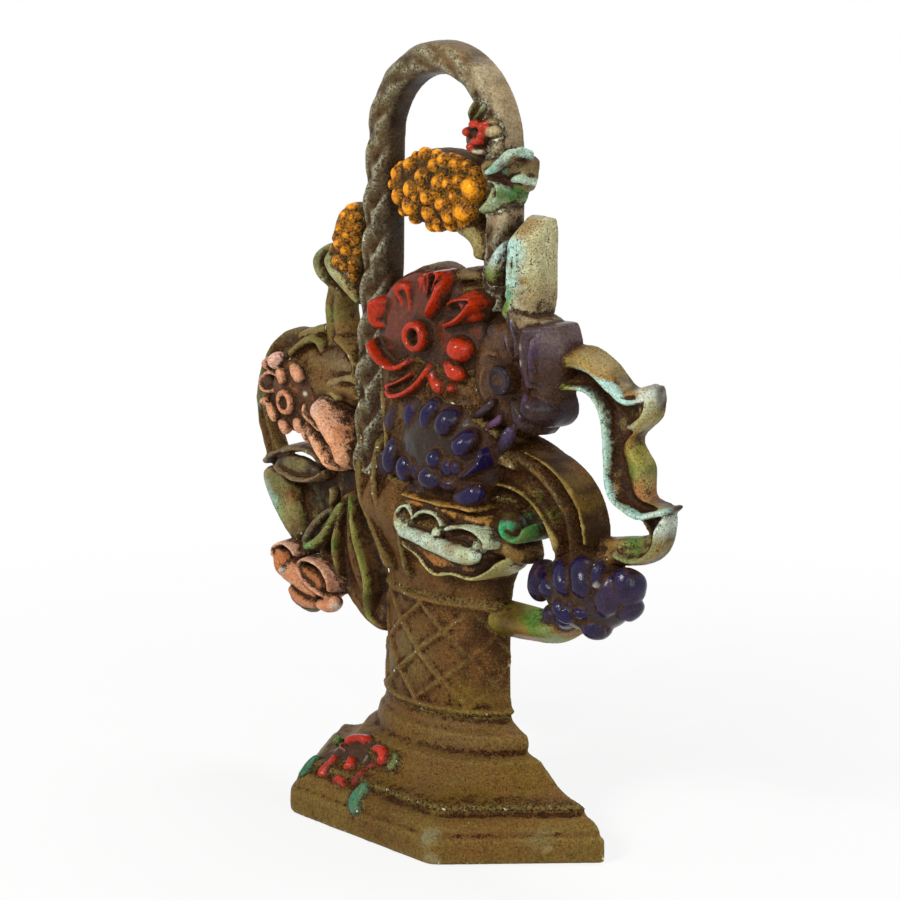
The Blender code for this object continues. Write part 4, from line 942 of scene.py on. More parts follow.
def build_berries():
    """Two beds of berries, each berry turned a little by chance on the slope of its bed."""
    for name, node_name, spots, x, z, half_width, half_height, wall, rise, seed in (
        ("centre_berries", "centre_bead_cluster", CENTRE_BERRIES, 2.5, 220.3, 26.5, 13.8, 4.0, 14.2, 4),
        ("left_berries", "left_bead_cluster", LEFT_BERRIES, -46.5, 197.4, 9.6, 14.2, 3.0, 10.5, 9),
    ):
        bed = button(x, z, [(half_width, 0.0), (half_width, 1.5), (half_width * 0.97, wall + 0.5),
                            (half_width * 0.8, 0.42 * wall + 0.58 * rise), (half_width * 0.5, 0.9 * rise),
                            (0.1, rise)], stretch=(1, half_height / half_width), around=64)
        Piece(name + "_bed", [node_name], "yellow_enamel", "toned", [bed], "#3d2414", rough=0.4)
        chance = np.random.RandomState(seed)
        places = []
        for spot_x, spot_z, size in spots:
            u, v = (spot_x - x) / half_width, (spot_z - z) / half_height
            # A berry past the edge of the bed is pulled in to it
            pull = min(1.0, 0.86 / math.hypot(u, v))
            u, v = u * pull, v * pull
            share = math.hypot(u, v)
            dome = math.sqrt(1 - 0.96 * share * share)
            slope = 0.8 * share / dome * (rise - wall)
            out = np.array([slope * u / share / half_width, 1.0, slope * v / share / half_height])
            turn = chance.uniform(-1, 1, 3)
            spot = (x + u * half_width, wall + (rise - wall) * dome - 0.25 * size, z + v * half_height)
            places.append((spot, tuple(np.cross(out, turn)), tuple(out), 1.25 * size))
        made = set_on_points(name, places, berry(), 0.06, seed, "yellow")
        Piece(name, [node_name], "yellow_enamel", "yellow", made, AMBER, rough=0.3)


def build_red_poppy():
    petals = [
        petal([(-18.1, 172.6, 2), (-21.7, 174.4, 3.6), (-20.8, 178.9, 4), (-21, 182.8, 3.8)], (14, 14, 13),
            (19, 16.5, 13.5), (20.5, 18, 14), (19, 18.5, 15.5), seat=8),
        petal([(-7.5, 175.6, 1.8), (-7.9, 181.6, 3.4), (-9, 186.5, 4.8), (-9.5, 189.2, 4.4)],
            (14.5, 14, 15), (16.5, 13.5, 17.5), (18.5, 14, 19), (19, 17.5, 19), seat=8),
        petal([(-0.8, 179.6, 1.6), (0.3, 186.7, 2.3), (-0.1, 192.8, 2.5)], (14, 14, 14), (15.5, 14, 16),
            (17, 16, 17), seat=8),
        petal([(4.9, 177.6, 1.1), (9.9, 182.8, 2.1), (12.2, 186.5, 2.3), (12.9, 190.5, 1.9),
            (13.3, 193.4, 1.3)], (15, 17, 15), (16.5, 21, 17), (17, 22, 17.5), (17, 21, 17), (16, 19, 16),
            seat=8),
        petal([(10, 177.8, 2.4), (15.6, 180.2, 4.2), (21.7, 182.9, 5.2), (26.6, 184.7, 5.4),
            (29, 185.4, 4.4)], (16, 14.5, 16), (18, 13, 18), (19.5, 14, 19), (20, 18.5, 18), (18, 18, 15),
            seat=8, ends=(0.08, 0.14)),
        knob(21.1, 15.5, 169.8, 5.3, 4.4, 5.5),
        tube([(13.2, 14.5, 164, 2.1, 2.6), (18.9, 16.5, 162.1, 3.2, 3.3), (23.1, 15.5, 160.4, 2.5, 2.8)],
            30, 24, ends=(0.3, 0.4)),
        knob(16.3, 14.5, 155.7, 2.2, 1.7, 3),
        tube([(7, 14.5, 160.9, 1.4, 1.8), (7.4, 15.2, 157.7, 2.1, 2.5), (10.4, 15.6, 155, 2.5, 2.6),
            (11.1, 14.5, 152.7, 1.8, 2.1)], 34, 20, ends=(0.2, 0.35))]
    rims = [
        ridge([(2.9, 185, 15.5), (5.8, 190, 17.5), (5.2, 194, 17.5)], width=0.9, seat=8),
        ridge([(6, 186.8, 16), (10.1, 190.6, 18.5), (11.6, 193.7, 18.8), (8.1, 194, 17.5)], width=0.9,
            seat=8),
        ridge([(14.2, 183.6, 17), (19.4, 185.8, 19.5), (24.5, 187.1, 20.5), (29, 187.6, 20.8)], width=1.1,
            seat=8),
        ridge([(11.9, 176.3, 17), (19.4, 178.9, 19.5), (25, 181.9, 21), (28.6, 184.9, 21.5),
            (29.7, 187.3, 21)], width=1.3, seat=8),
        ridge([(-24.2, 168.1, 17.5), (-22.5, 165.9, 19.8), (-19.3, 162.5, 20.5), (-14.7, 160, 20.5),
            (-9.9, 159.4, 20.3), (-5.6, 161.2, 19), (-3, 164.2, 16.5)], width=1.5, seat=8, ends=(0.1, 0.1)),
        ridge([(-17.1, 151.8, 17.5), (-12, 149.6, 19.8), (-6.3, 150.8, 20.3), (-0.1, 154.1, 20.3),
            (4.2, 158.1, 19.5), (6, 161.6, 18.2), (4.6, 163.8, 16.5)], width=1.6, seat=8, ends=(0.1, 0.1)),
        ridge([(-17.1, 151.8, 17.5), (-9.8, 154.3, 18.6), (-3.5, 157.5, 18.6), (-2, 159.4, 16.5)],
            width=1.1, seat=8)]
    floors = [
        petal([(-6, 165.6, 2.5), (-12.3, 163.4, 4), (-20.2, 162, 4.5), (-25.6, 164.5, 3.5)],
            (14.5, 14.5, 14.5), (15.2, 14, 16), (15.5, 14, 16), (15, 15, 15), seat=8),
        petal([(-18.7, 149.5, 1.5), (-12.4, 151.5, 3), (-5, 155.9, 3), (0.2, 160.8, 2)], (14.8, 14.5, 15),
            (15.5, 14.5, 16), (15.5, 14.5, 16), (15, 14.5, 15), seat=8)]
    bed = button(1.5, 172, [(26.5, 7.0), (27, 10), (25.5, 12.8), (20, 14.3), (10, 14.9), (0.1, 15.0)],
        stretch=(1, 0.8), around=70)
    Piece("poppy_petals", ["red_poppy"], "red_enamel", "red",
        petals + rims + [(grid, "#96261a") for grid in floors] + [(bed, "#5e2b18")], POPPY_RED,
        deep=(10.5, 13.6, "#4c2616"), rough=0.14, cell=0.45)
    ring = button(1.5, 171.8,
        [(5.0, 13.0), (5.3, 16.0), (5.4, 19.0), (4.9, 20.6), (4.0, 21.0), (3.0, 20.4), (2.3, 18.4),
            (1.8, 16.6), (0.1, 16.2)], count=34)
    Piece("poppy_ring_form", ["poppy_ring"], "red_enamel", "red", [ring], POPPY_RED, rough=0.1,
        deep=(16.5, 18.5, "#3c2318"), cell=0.4)


def fingers(lines, wide, middle=(0, 0), drawn_in=0.0):
    """Rounded petals from lines of x, depth, z, half width and half thickness.

    They are made wider by wide, and drawn in towards middle, a place in x and z, by the share drawn_in.
    """
    return [tube([(x + (middle[0] - x) * drawn_in, d, z + (middle[1] - z) * drawn_in, w * wide, h)
                  for x, d, z, w, h in line], 30, 20, power=0.95, ends=(0.25, 0.3)) for line in lines]


def build_blue_flowers():
    bed = button(12.5, 133, [(23.5, 6.0), (24, 10.0), (22.5, 14.4), (18, 18.3), (10, 20.7), (0.1, 21.4)],
        stretch=(1, 0.82), around=60)
    parts = fingers([
        [(-17.2, 12.5, 136.3, 2, 2.8), (-14.9, 13.5, 140.5, 2.9, 3.4), (-12.4, 13, 143.9, 2.9, 3.4),
            (-11.7, 10.5, 145.3, 2, 2.8)],
        [(-2.9, 15.5, 139.6, 2.2, 3), (-1.8, 16.5, 144.3, 3.2, 3.7), (-0.8, 15, 147.2, 3.2, 3.7),
            (0, 11.5, 148.6, 2.2, 3)],
        [(6.8, 17.5, 140.9, 2.2, 3), (8.4, 18.5, 145.3, 3.2, 3.7), (9.9, 17, 148.2, 3.2, 3.7),
            (9.9, 13, 148.9, 2.2, 3)],
        [(16.5, 19.5, 141, 2.3, 3.2), (18.2, 20.5, 144.3, 3.6, 3.9), (19.3, 18, 146.4, 3.6, 3.9),
            (19.7, 13, 147.6, 2.4, 3.2)],
        [(25.2, 20, 135.4, 2.1, 2.8), (26.9, 21, 138.2, 3.2, 3.7), (28.1, 18.5, 140.1, 3.3, 3.9),
            (28.5, 13.5, 141.1, 2.5, 3.2)],
        [(21.8, 18.5, 120.6, 1.8, 2.8), (27.7, 19.5, 120.8, 3.1, 3.7), (31.5, 18.5, 123, 3.1, 3.7),
            (32.4, 16.5, 125.2, 2, 2.8)],
        [(0.2, 15.5, 116.5, 1.8, 2.8), (7.7, 16.5, 115.5, 3.2, 3.7), (14.2, 16, 115.7, 3.2, 3.7),
            (18.7, 15, 115.8, 2, 2.8)],
        [(-3.1, 17.5, 121.8, 2.3, 3.2), (-2.5, 19, 126.2, 3.6, 4.1), (-3.2, 17.5, 130.3, 2.6, 3.2)],
        [(-14.7, 15, 122, 2.3, 3), (-12.7, 16.5, 127.2, 3.4, 3.9), (-12.4, 15, 132.2, 2.9, 3.4),
            (-12.5, 13, 133.7, 2, 2.5)],
        [(-19.3, 12, 118.5, 1.8, 2.8), (-21.3, 12, 123.2, 2.5, 3.4), (-22.4, 11.5, 128.9, 2.2, 2.8)],
        [(-21.2, 11, 115.7, 1.4, 2.1), (-15.6, 12.5, 117.2, 2.3, 2.8), (-12.6, 11.5, 117.8, 1.5, 2.1)],
        [(-5.2, 14.5, 117.5, 2.1, 2.8), (2, 16.5, 118.3, 2.9, 3.4), (6.3, 16.5, 118.5, 2.3, 3)],
        [(1.9, 16, 133.9, 1.6, 2.3), (3.7, 17, 136.7, 2.2, 2.8), (5, 16.5, 138.8, 1.6, 2.3)],
        [(10.6, 14, 114, 2.5, 3), (19.1, 14, 115.4, 3.4, 3.7), (27, 13, 119.3, 3.2, 3.4),
            (30.3, 11, 123.2, 2.3, 3)]], wide=1.1) + [
        knob(12.6, 21, 125.5, 5.5, 4.5, 5), knob(15.1, 21.5, 132.4, 3.4, 3.6, 4.2),
        knob(19.4, 19.5, 129.9, 3.6, 3.6, 3.4), knob(-9.1, 13.5, 138.7, 2.8, 2.8, 3),
        knob(-10.2, 14.5, 124.3, 2.5, 4.2, 3), knob(3, 18, 126, 3.1, 3.7, 3.4),
        knob(9.4, 18, 135.3, 2.8, 3.1, 3), knob(19.1, 18.5, 123.9, 3.9, 2.8, 3.4),
        knob(24.1, 20, 130.7, 2.8, 2.8, 3), knob(0.1, 16, 136, 2.8, 2.8, 3),
        knob(14.9, 18.5, 135.7, 3.1, 2.8, 3),
        ridge([(23.1, 126.3, 20), (30.3, 129.8, 22.5), (35.3, 133.4, 23.5), (36.6, 136.7, 23),
            (34.9, 139.2, 21)], width=1.5, seat=8),
        petal([(21.9, 122.6, 2.4), (28, 127.2, 4.2), (31.1, 132.1, 4.8), (31.7, 137.3, 3.6)], (20, 16, 11),
            (21.5, 18, 12), (22, 18, 12), (20, 17, 12), seat=6, ends=(0.15, 0.25))]
    Piece("aster_petals", ["blue_aster"], "blue_enamel", "violet", parts + [(bed, "#2a1c10")], VIOLET,
        rough=0.2, cell=0.45)
    bed = button(71.5, 95, [(16.5, 0.0), (17.8, 3), (17.4, 8), (14, 12.6), (7.5, 15.6), (0.1, 16.4)],
        stretch=(1, 0.76), around=60)
    lobes = fingers([
        [(50.2, 3, 101.5, 2.2, 3.4), (48.7, 4.4, 98, 3.8, 4.9), (47.5, 5, 93.3, 3.8, 5.6),
            (47, 4.4, 89.2, 3.2, 4.9), (46.7, 3.4, 85.8, 2.5, 3.8)],
        [(52.5, 3, 101.3, 2.2, 3.4), (52.3, 4.4, 97.3, 3.8, 4.9), (59.6, 11.6, 95.5, 3.8, 4.9),
            (65.1, 15.4, 94.2, 2.9, 3.8)],
        [(64.3, 9.7, 105.4, 2.1, 3.1), (68, 13.4, 102.7, 3.2, 4.3), (70.6, 15.5, 99.4, 3.2, 4.3),
            (73.1, 16.6, 95.7, 2.6, 3.6)],
        [(73.4, 8.5, 107.4, 2.5, 3.8), (75.6, 11.5, 104.3, 4.4, 5.2), (77.9, 13.1, 101.2, 4.6, 5.4),
            (79.9, 14, 97.4, 4, 4.7), (81.1, 14.2, 95.8, 2.6, 3.6)],
        [(83.5, 6.8, 104.2, 3.1, 4), (85.1, 8.4, 100.4, 5, 5.4), (85.7, 9.6, 95.7, 5, 5.4),
            (84.9, 10.1, 91.5, 4.1, 4.7), (84.3, 9.8, 89.3, 2.9, 3.8)],
        [(89.1, 4, 105.8, 3.6, 4.5), (90.3, 5.6, 102.2, 5.4, 6.3), (89.9, 5.6, 98.3, 5.4, 6.3),
            (88.9, 5, 93.9, 4.5, 5.6)],
        [(90.9, 3.6, 96.6, 2.7, 4), (90.6, 4.6, 93.4, 4.3, 5.2), (87.8, 4.9, 90.1, 3.9, 4.9),
            (86.6, 5.8, 88.5, 2.7, 4)],
        [(49.7, 3.4, 85, 2.5, 3.8), (53.1, 4.4, 82.7, 3.6, 4.9), (57.7, 4, 81.9, 3.4, 4.5),
            (69.9, 12.7, 85.6, 2.5, 3.4)],
        [(70.2, 16.8, 93.4, 2.1, 3.1), (69.6, 15.5, 90.5, 3.2, 4), (72.1, 14.8, 88.8, 3.5, 4),
            (75.3, 14.4, 88.2, 2.5, 3.4)],
        [(76.7, 13.1, 87.2, 2.6, 3.8), (78.4, 9.6, 85.1, 4.4, 5.4), (80.7, 6.6, 84, 3.8, 4.9),
            (82.9, 5.2, 84.4, 2.6, 3.8)]], wide=1.12, middle=(71.0, 94.0), drawn_in=0.07) + [
        knob(76.8, 12.5, 90.2, 3.5, 2.6, 5), knob(83.7, 13.5, 103.6, 1.8, 5.1, 3.5)]
    # The two dark patches are painted shade on the flower's right and lower right
    Piece("mum_petals", ["blue_mum"], "blue_enamel", "violet", lobes + [(bed, "#2f2219")], VIOLET,
        rough=0.18, cell=0.45,
        spots=((84.5, 100.5, 0.7, "#d5cbb8", 1.0), (89, 95, 7, "#33253c", 0.9),
            (86, 84, 5, "#2a1d22", 0.8)))


def build_purple_flower():
    walls = [
        (petal([(55.5, 160, 6.5), (55.2, 167, 8.0), (54.6, 175, 8.2), (53.5, 181.5, 6.5)],
            (14, 16, 16.5, 13, 8), (15, 17, 17.6, 15, 10), (15, 17, 17.6, 15, 10), (14, 16.5, 17, 14, 9),
            square=7, ends=(0.05, 0.06)), "#44343c"),
        (petal([(43.5, 172, 6), (45.0, 178, 7.6), (46.5, 184.2, 7.2)], (12, 13.5, 13.5, 11),
            (12.5, 14, 14, 12), (12, 14, 14, 12), square=7, ends=(0.1, 0.04)), "#8a7657"),
        petal([(47, 158, 3.4), (54, 154.0, 6.8), (61, 151.5, 5.6)], (13, 15, 14), (15, 19, 15.5),
            (12, 15.5, 12.5), ends=(0.05, 0.35)),
        (petal([(43, 156, 3), (47, 149.5, 6.4), (50, 143.5, 5.0)], (12, 14.5, 12), (13, 16, 13),
            (11, 13, 11), ends=(0.05, 0.35)), "#332829"),
        (petal([(36, 172, 3), (33.5, 176, 4.5), (31, 180.5, 4.0)], (13, 14, 13), (14, 14.5, 14),
            (12, 13, 12), ends=(0.1, 0.3)), "#43322a")]
    lines = [
        (ridge([(55.8, 162.5, 17.8), (55.9, 167.2, 18.6), (56.1, 171.9, 18.8), (56.2, 175.9, 18.4),
            (55.5, 178.2, 17.5)], width=1.8), "#46344e"),
        (ridge([(41.5, 183.3, 14), (43.4, 180, 15.2), (46.3, 175.7, 16), (46.9, 171.8, 16),
            (45.4, 168.4, 15)], width=1.3), "#41334a"),
        (ridge([(36.8, 178.3, 13.5), (40.7, 175.6, 15.2), (43.2, 171.9, 15.6), (43.8, 168.2, 14.8)],
            width=1.1), "#4a3644"),
        (tube([(25.2, 14, 147.5, 0.9, 1.4), (31.1, 16.2, 149.7, 1.4, 1.8), (35.6, 16.2, 152.9, 1.4, 1.8),
            (36.8, 14.5, 155.2, 0.9, 1.4)], 30, 18), "#352a30"),
        (tube([(32.6, 14, 144.7, 0.8, 1.3), (36.5, 15.8, 146.6, 1.3, 1.7), (39.5, 15.8, 148.5, 1.3, 1.7),
            (40.3, 14.5, 150.4, 0.8, 1.3)], 30, 18), "#5a3d5c"),
        (tube([(44.6, 14, 147.1, 1.3, 1.8), (43.8, 15.2, 144.4, 2.2, 2.4), (40.1, 13.5, 140.5, 2.2, 2.4),
            (36.7, 11.5, 137.8, 1.5, 1.8)], 30, 20), "#3c2f48"),
        (tube([(51.6, 14.5, 159.5, 1, 1.5), (52.7, 16, 156, 1.6, 2.1), (51.7, 15.6, 152.4, 1.6, 2.1),
            (47.3, 13.5, 148.8, 1, 1.5)], 34, 20), "#503a58"),
        (ridge([(25.8, 164.6, 13.5), (28.6, 167.8, 14.5), (32.3, 169.7, 15), (36.2, 168.9, 15)], width=1.0),
            "#6a4c30"),
        (ridge([(31.9, 153.2, 14.5), (29.4, 156.3, 15), (28.9, 160.4, 15), (30.4, 164.7, 15)], width=0.9),
            "#6a4c30")]
    bed = button(42, 162.8, [(18.5, 0), (18.5, 8), (17.5, 12.6), (13.5, 14.3), (8.5, 13.4), (0.1, 13.0)],
        around=50)
    Piece("purple_petals", ["purple_flower"], "purple_enamel", "plum", walls + lines + [(bed, "#553b26")],
        PLUM, rough=0.18, cell=0.5,
        spots=((50.0, 174, 1.0, "#c9bda6", 0.9), (50.0, 169, 0.8, "#c9bda6", 0.9),
            (49.8, 171.5, 0.7, "#17101a", 1.0), (60, 178, 4, "#6a5a55", 0.5), (61, 164, 6, "#3c2818", 0.9),
            (50, 162, 2.4, "#3a2350", 0.8), (57, 152, 8, "#2a1c22", 0.8)))
    disc = button(42.2, 162.3,
        [(4.8, 11.0), (5.1, 16.0), (5.0, 18.4), (4.4, 19.4), (3.0, 19.1), (1.6, 18.6), (0.1, 18.5)],
        count=30)
    Piece("purple_button_form", ["purple_button"], "purple_enamel", "plum", [disc], "#1e1720", rough=0.1,
        spots=((42.3, 162.3, 1.6, "#5c3f26", 0.7),), cell=0.4)


def build_upright_leaf():
    main = petal([(39.8, 180.5, 7.4), (43.2, 188, 7.2), (43.8, 196, 6.8), (44.2, 204, 6.4),
        (45.0, 209.5, 6.0), (45.2, 215.0, 4.6)], (10, 12.5, 12.5, 12, 10), (8.5, 13.0, 13, 12.5, 11),
        (8, 14.2, 13.6, 12.8, 11.5), (7.5, 14.2, 13.6, 12.5, 11), (7.5, 13.6, 13, 12, 10.5),
        (3, 7.0, 8, 7.5, 5), square=7, ends=(0.02, 0.0), count=70)
    side = petal([(27.5, 191.7, 4), (30, 195.2, 5.2), (32.6, 199.5, 4.8), (35.4, 204, 3.4), (37.3, 207, 2)],
        (6, 10, 10.5, 8), (7, 12, 12.5, 9), (8, 12.6, 12.8, 9), (8, 12.4, 12.2, 9), (8, 11, 11, 9),
        square=3.6, ends=(0.12, 0.1), count=60)
    fold = ridge([(40.5, 189.2, 13), (44.5, 191.5, 14), (47.4, 193, 13.6), (49.5, 193.7, 12.4)], width=1.7)
    lip = ridge([(44, 203.1, 14.5), (44.2, 199, 14.8), (43, 195.4, 14.4), (40.5, 191.9, 13.8),
        (38.4, 188.2, 13.2)], width=1.0)
    Piece("pale_leaf", ["upright_leaf"], "cream_enamel", "cream",
        [(main, AQUA), (side, AQUA), (fold, "#b4c3a2"), (lip, AQUA)], AQUA, cell=0.5,
        deep=(12.0, 13.6, "#b9b48a"),
        spots=((30.3, 194.6, 4.5, "#5f7c2c", 1.0), (34.1, 195, 3.0, "#4f742a", 0.9),
            (34.8, 204, 5, "#a9c4bd", 0.9), (41.7, 190, 2.2, "#2a9a70", 1.0),
            (39, 187.7, 2.2, "#3f9a50", 0.9), (37.3, 185.1, 2.8, "#6c8a2c", 0.9),
            (45.6, 211.9, 3.6, "#8a6230", 0.7), (48.4, 189.2, 5, "#7a5430", 0.6),
            (46.8, 194.8, 1.6, "#7a4a1c", 0.9), (40.6, 203.6, 1.2, "#4a2412", 0.9),
            (40, 200.9, 1.4, "#4a2412", 0.9), (38.4, 196.8, 1.6, "#4a2412", 0.9)))


def build_right_ribbon():
    outer = ((60.5, 174.5), (69.5, 175.0), (79.0, 171.0), (88.0, 164.4), (97.0, 166.3), (99.4, 157.0),
        (91.0, 148.0), (96.2, 140.0), (97.0, 130.5), (104.5, 128.0), (105.6, 121.0), (103.0, 113.5),
        (97.0, 108.5), (87.0, 105.8), (77.0, 104.5))
    inner = ((58.5, 161.0), (69.5, 161.8), (76.0, 158.7), (79.5, 154.0), (80.5, 150.0), (81.0, 146.5),
        (81.6, 142.0), (82.0, 137.0), (84.5, 130.0), (89.0, 125.8), (96.5, 123.5), (97.5, 119.0),
        (92.5, 116.5), (84.5, 114.8), (75.5, 112.8))
    depths = field((4, 7.5, 9.5, 9.5, 6, 4, 4, 7, 9), (3, 6.5, 9.8, 10.2, 6, 3.5, 3, 6.5, 9.5),
        (2.5, 6, 9.6, 10.4, 5, 3, 2.5, 5, 9.5), (2.5, 6, 9.8, 9.5, 4, 2.5, 3, 5, 9.5),
        (6, 8.5, 8.0, 5, 3, 3, 3.5, 5, 9.5), (8.5, 9.0, 7.5, 5, 3, 3, 4, 5, 9.5),
        (7, 7.5, 7.2, 6, 5, 4.5, 4, 5.5, 9.5), (6, 7.5, 7.5, 6.5, 5, 4, 4, 5.5, 9.5),
        (5.5, 7, 7.2, 6, 5, 4, 4, 6, 9.5), (7, 6.5, 5, 4.5, 4, 4, 4, 7, 9.5),
        (9, 7, 4.5, 3.5, 3.5, 4, 5, 8, 9.5), (8.5, 8.5, 6.5, 5, 4.5, 4.5, 5, 5, 5),
        (6, 7.5, 7, 6, 5.5, 5, 5, 5, 4.5), (5, 7, 7.5, 7, 6.5, 6, 6, 6, 5), (5, 7, 8, 7, 6.5, 6, 6, 6, 5))
    edges = [o + i for o, i in zip(outer, inner)]
    body = relief(edges, depths, 300, 44, square=6.0, ends=(0.0, 0.0))
    lip = ridge([(58.0, 161.2, 9.5), (64.5, 161.9, 10), (71.8, 162.0, 10.3), (77.3, 159.3, 10.5),
        (80.2, 154.6, 10.5), (81.2, 149.2, 10.3), (81.8, 141.5, 10.3), (82.3, 133.9, 10.3),
        (84.3, 129.0, 10.3), (88.7, 126.2, 10.5), (97.0, 124.6, 10.8), (104.0, 126.8, 9.5),
        (108.0, 128.8, 5.5)], width=1.25, count=150)
    upper = ridge([(61.5, 169.0, 9), (71.7, 169.0, 10.4), (78.5, 166.7, 11), (84.8, 163.2, 11),
        (90.0, 160.8, 10.6), (96.0, 161.9, 9.8), (98.4, 164.2, 8.0), (98.2, 166.4, 4.5)], width=1.3,
        count=110)
    tip = ridge([(98.0, 165.8, 5.0), (98.9, 162.0, 9.2), (97.6, 157.0, 10.2), (92.5, 153.0, 9.4),
        (87.5, 152.0, 6.0)], width=1.3, count=70)
    lobe = ridge([(104.0, 126.0, 5.0), (104.4, 121.5, 10.0), (102.5, 115.5, 9.6), (98.0, 110.8, 9.0),
        (91.0, 108.6, 8.8), (83.0, 109.5, 8.8)], width=1.2, count=90)
    Piece("ruffled_ribbon", ["right_ribbon"], "aqua_enamel", "cream",
        [(body, "#967236"), lip, upper, (tip, "#b9bf9c"), (lobe, "#8c8a5a")], AQUA,
        deep=(3.0, 8.2, "#3a2614"),
        spots=((62, 172, 8, "#7a5a2c", 0.9), (62, 166, 6, "#8a7a34", 0.8), (64, 161, 4, "#8f9a3c", 0.9),
            (75, 171.5, 6, "#a08a4a", 0.6), (92, 137, 4.5, LEAF_GREEN, 0.9), (92, 143, 4, "#8f8a3a", 0.8),
            (95, 133, 4, "#a06a3c", 0.8), (91, 114, 4, LEAF_GREEN, 0.8), (104, 123, 4, "#c9d8c8", 0.8),
            (99, 116, 5, "#7a7440", 0.8), (97, 163, 3, "#c9cfc0", 0.8), (96, 156, 4, "#9a8a4a", 0.7)))


def build_sheath():
    edges = [(34.0, 143.0, 31.0, 124.0), (47.0, 140.5, 42.0, 125.0), (56.5, 136.8, 49.5, 122.3),
        (64.0, 131.8, 55.5, 118.8), (69.5, 126.0, 59.0, 114.8), (72.8, 119.3, 60.0, 110.6),
        (74.5, 111.5, 60.0, 106.0), (75.5, 105.0, 60.5, 102.5)]
    depths = field((6, 10, 12.5, 11.5, 10, 9.5, 9.5, 10, 11),
        (5, 9.5, 12.5, 12.5, 10.5, 9.5, 9.5, 11, 11.5), (5, 9, 12, 13, 10, 8.6, 9.5, 12, 11.5),
        (4, 8, 11.5, 13, 9.5, 8, 9, 12.5, 12), (4, 8, 11, 12.5, 9.5, 8, 9, 12.5, 12),
        (4, 8, 11, 12.5, 9.5, 8, 9, 12.5, 12))
    body = relief(edges, depths, 110, 52, square=4.5, ends=(0.0, 0.0))
    first = ridge([(46, 138.4, 12.6), (52.7, 137.5, 13.6), (59.6, 135.5, 13.9), (66.2, 131.9, 14),
        (70.7, 127.6, 14), (73.8, 122.5, 13.8), (75.6, 116.7, 13.5), (76, 110.4, 12.9)], width=0.55,
        count=110)
    second = ridge([(29.1, 124.4, 12.6), (37.5, 125.7, 13.3), (46, 124.7, 13.8), (52.8, 121.6, 13.9),
        (57.4, 117.6, 13.9), (60.3, 113.4, 13.8), (61.8, 109.4, 13.5), (62.7, 105.7, 12.9)], width=0.7,
        count=110)
    broad = ridge([(58.8, 115.5, 13), (61.9, 111, 13.3), (63.4, 105.8, 12.6)], width=2.3)
    Piece("arched_sheath_form", ["arched_sheath"], "brown_enamel", "toned",
        [body, (first, "#a98f4e"), (second, "#a38a4a"), (broad, "#a08c52")], "#46331c",
        deep=(11.9, 13.3, "#33210f"), cell=0.45,
        spots=((51.5, 123.9, 2.6, "#4a5a20", 0.8), (60, 119.2, 2.6, "#5a6424", 0.7),
            (67.4, 130.9, 3.4, "#6b5524", 0.6), (72, 124.2, 3.4, "#6b5220", 0.6)), rough=0.25)


def build_stalk():
    body = petal([(26, 76, 6.5), (40, 76.5, 6.2), (52, 77.5, 5.6), (61, 81.5, 5.0), (66, 86, 4.6)],
        (3, 7.5, 7.5, 4), (3, 8.0, 8.0, 4), (3, 8.5, 8.0, 4), (3, 8, 8, 4), square=2.4, ends=(0.0, 0.05))
    Piece("mum_stalk_form", ["mum_stalk"], "green_enamel", "green", [body], "#786a22",
        spots=((45, 79, 6, LEAF_GREEN, 0.9), (42, 73, 5, "#9a5a1e", 0.8), (56, 77, 5, "#7c9458", 0.7),
            (62, 80, 5, "#8a5a24", 0.7), (36, 77, 6, "#4a3418", 0.8)))


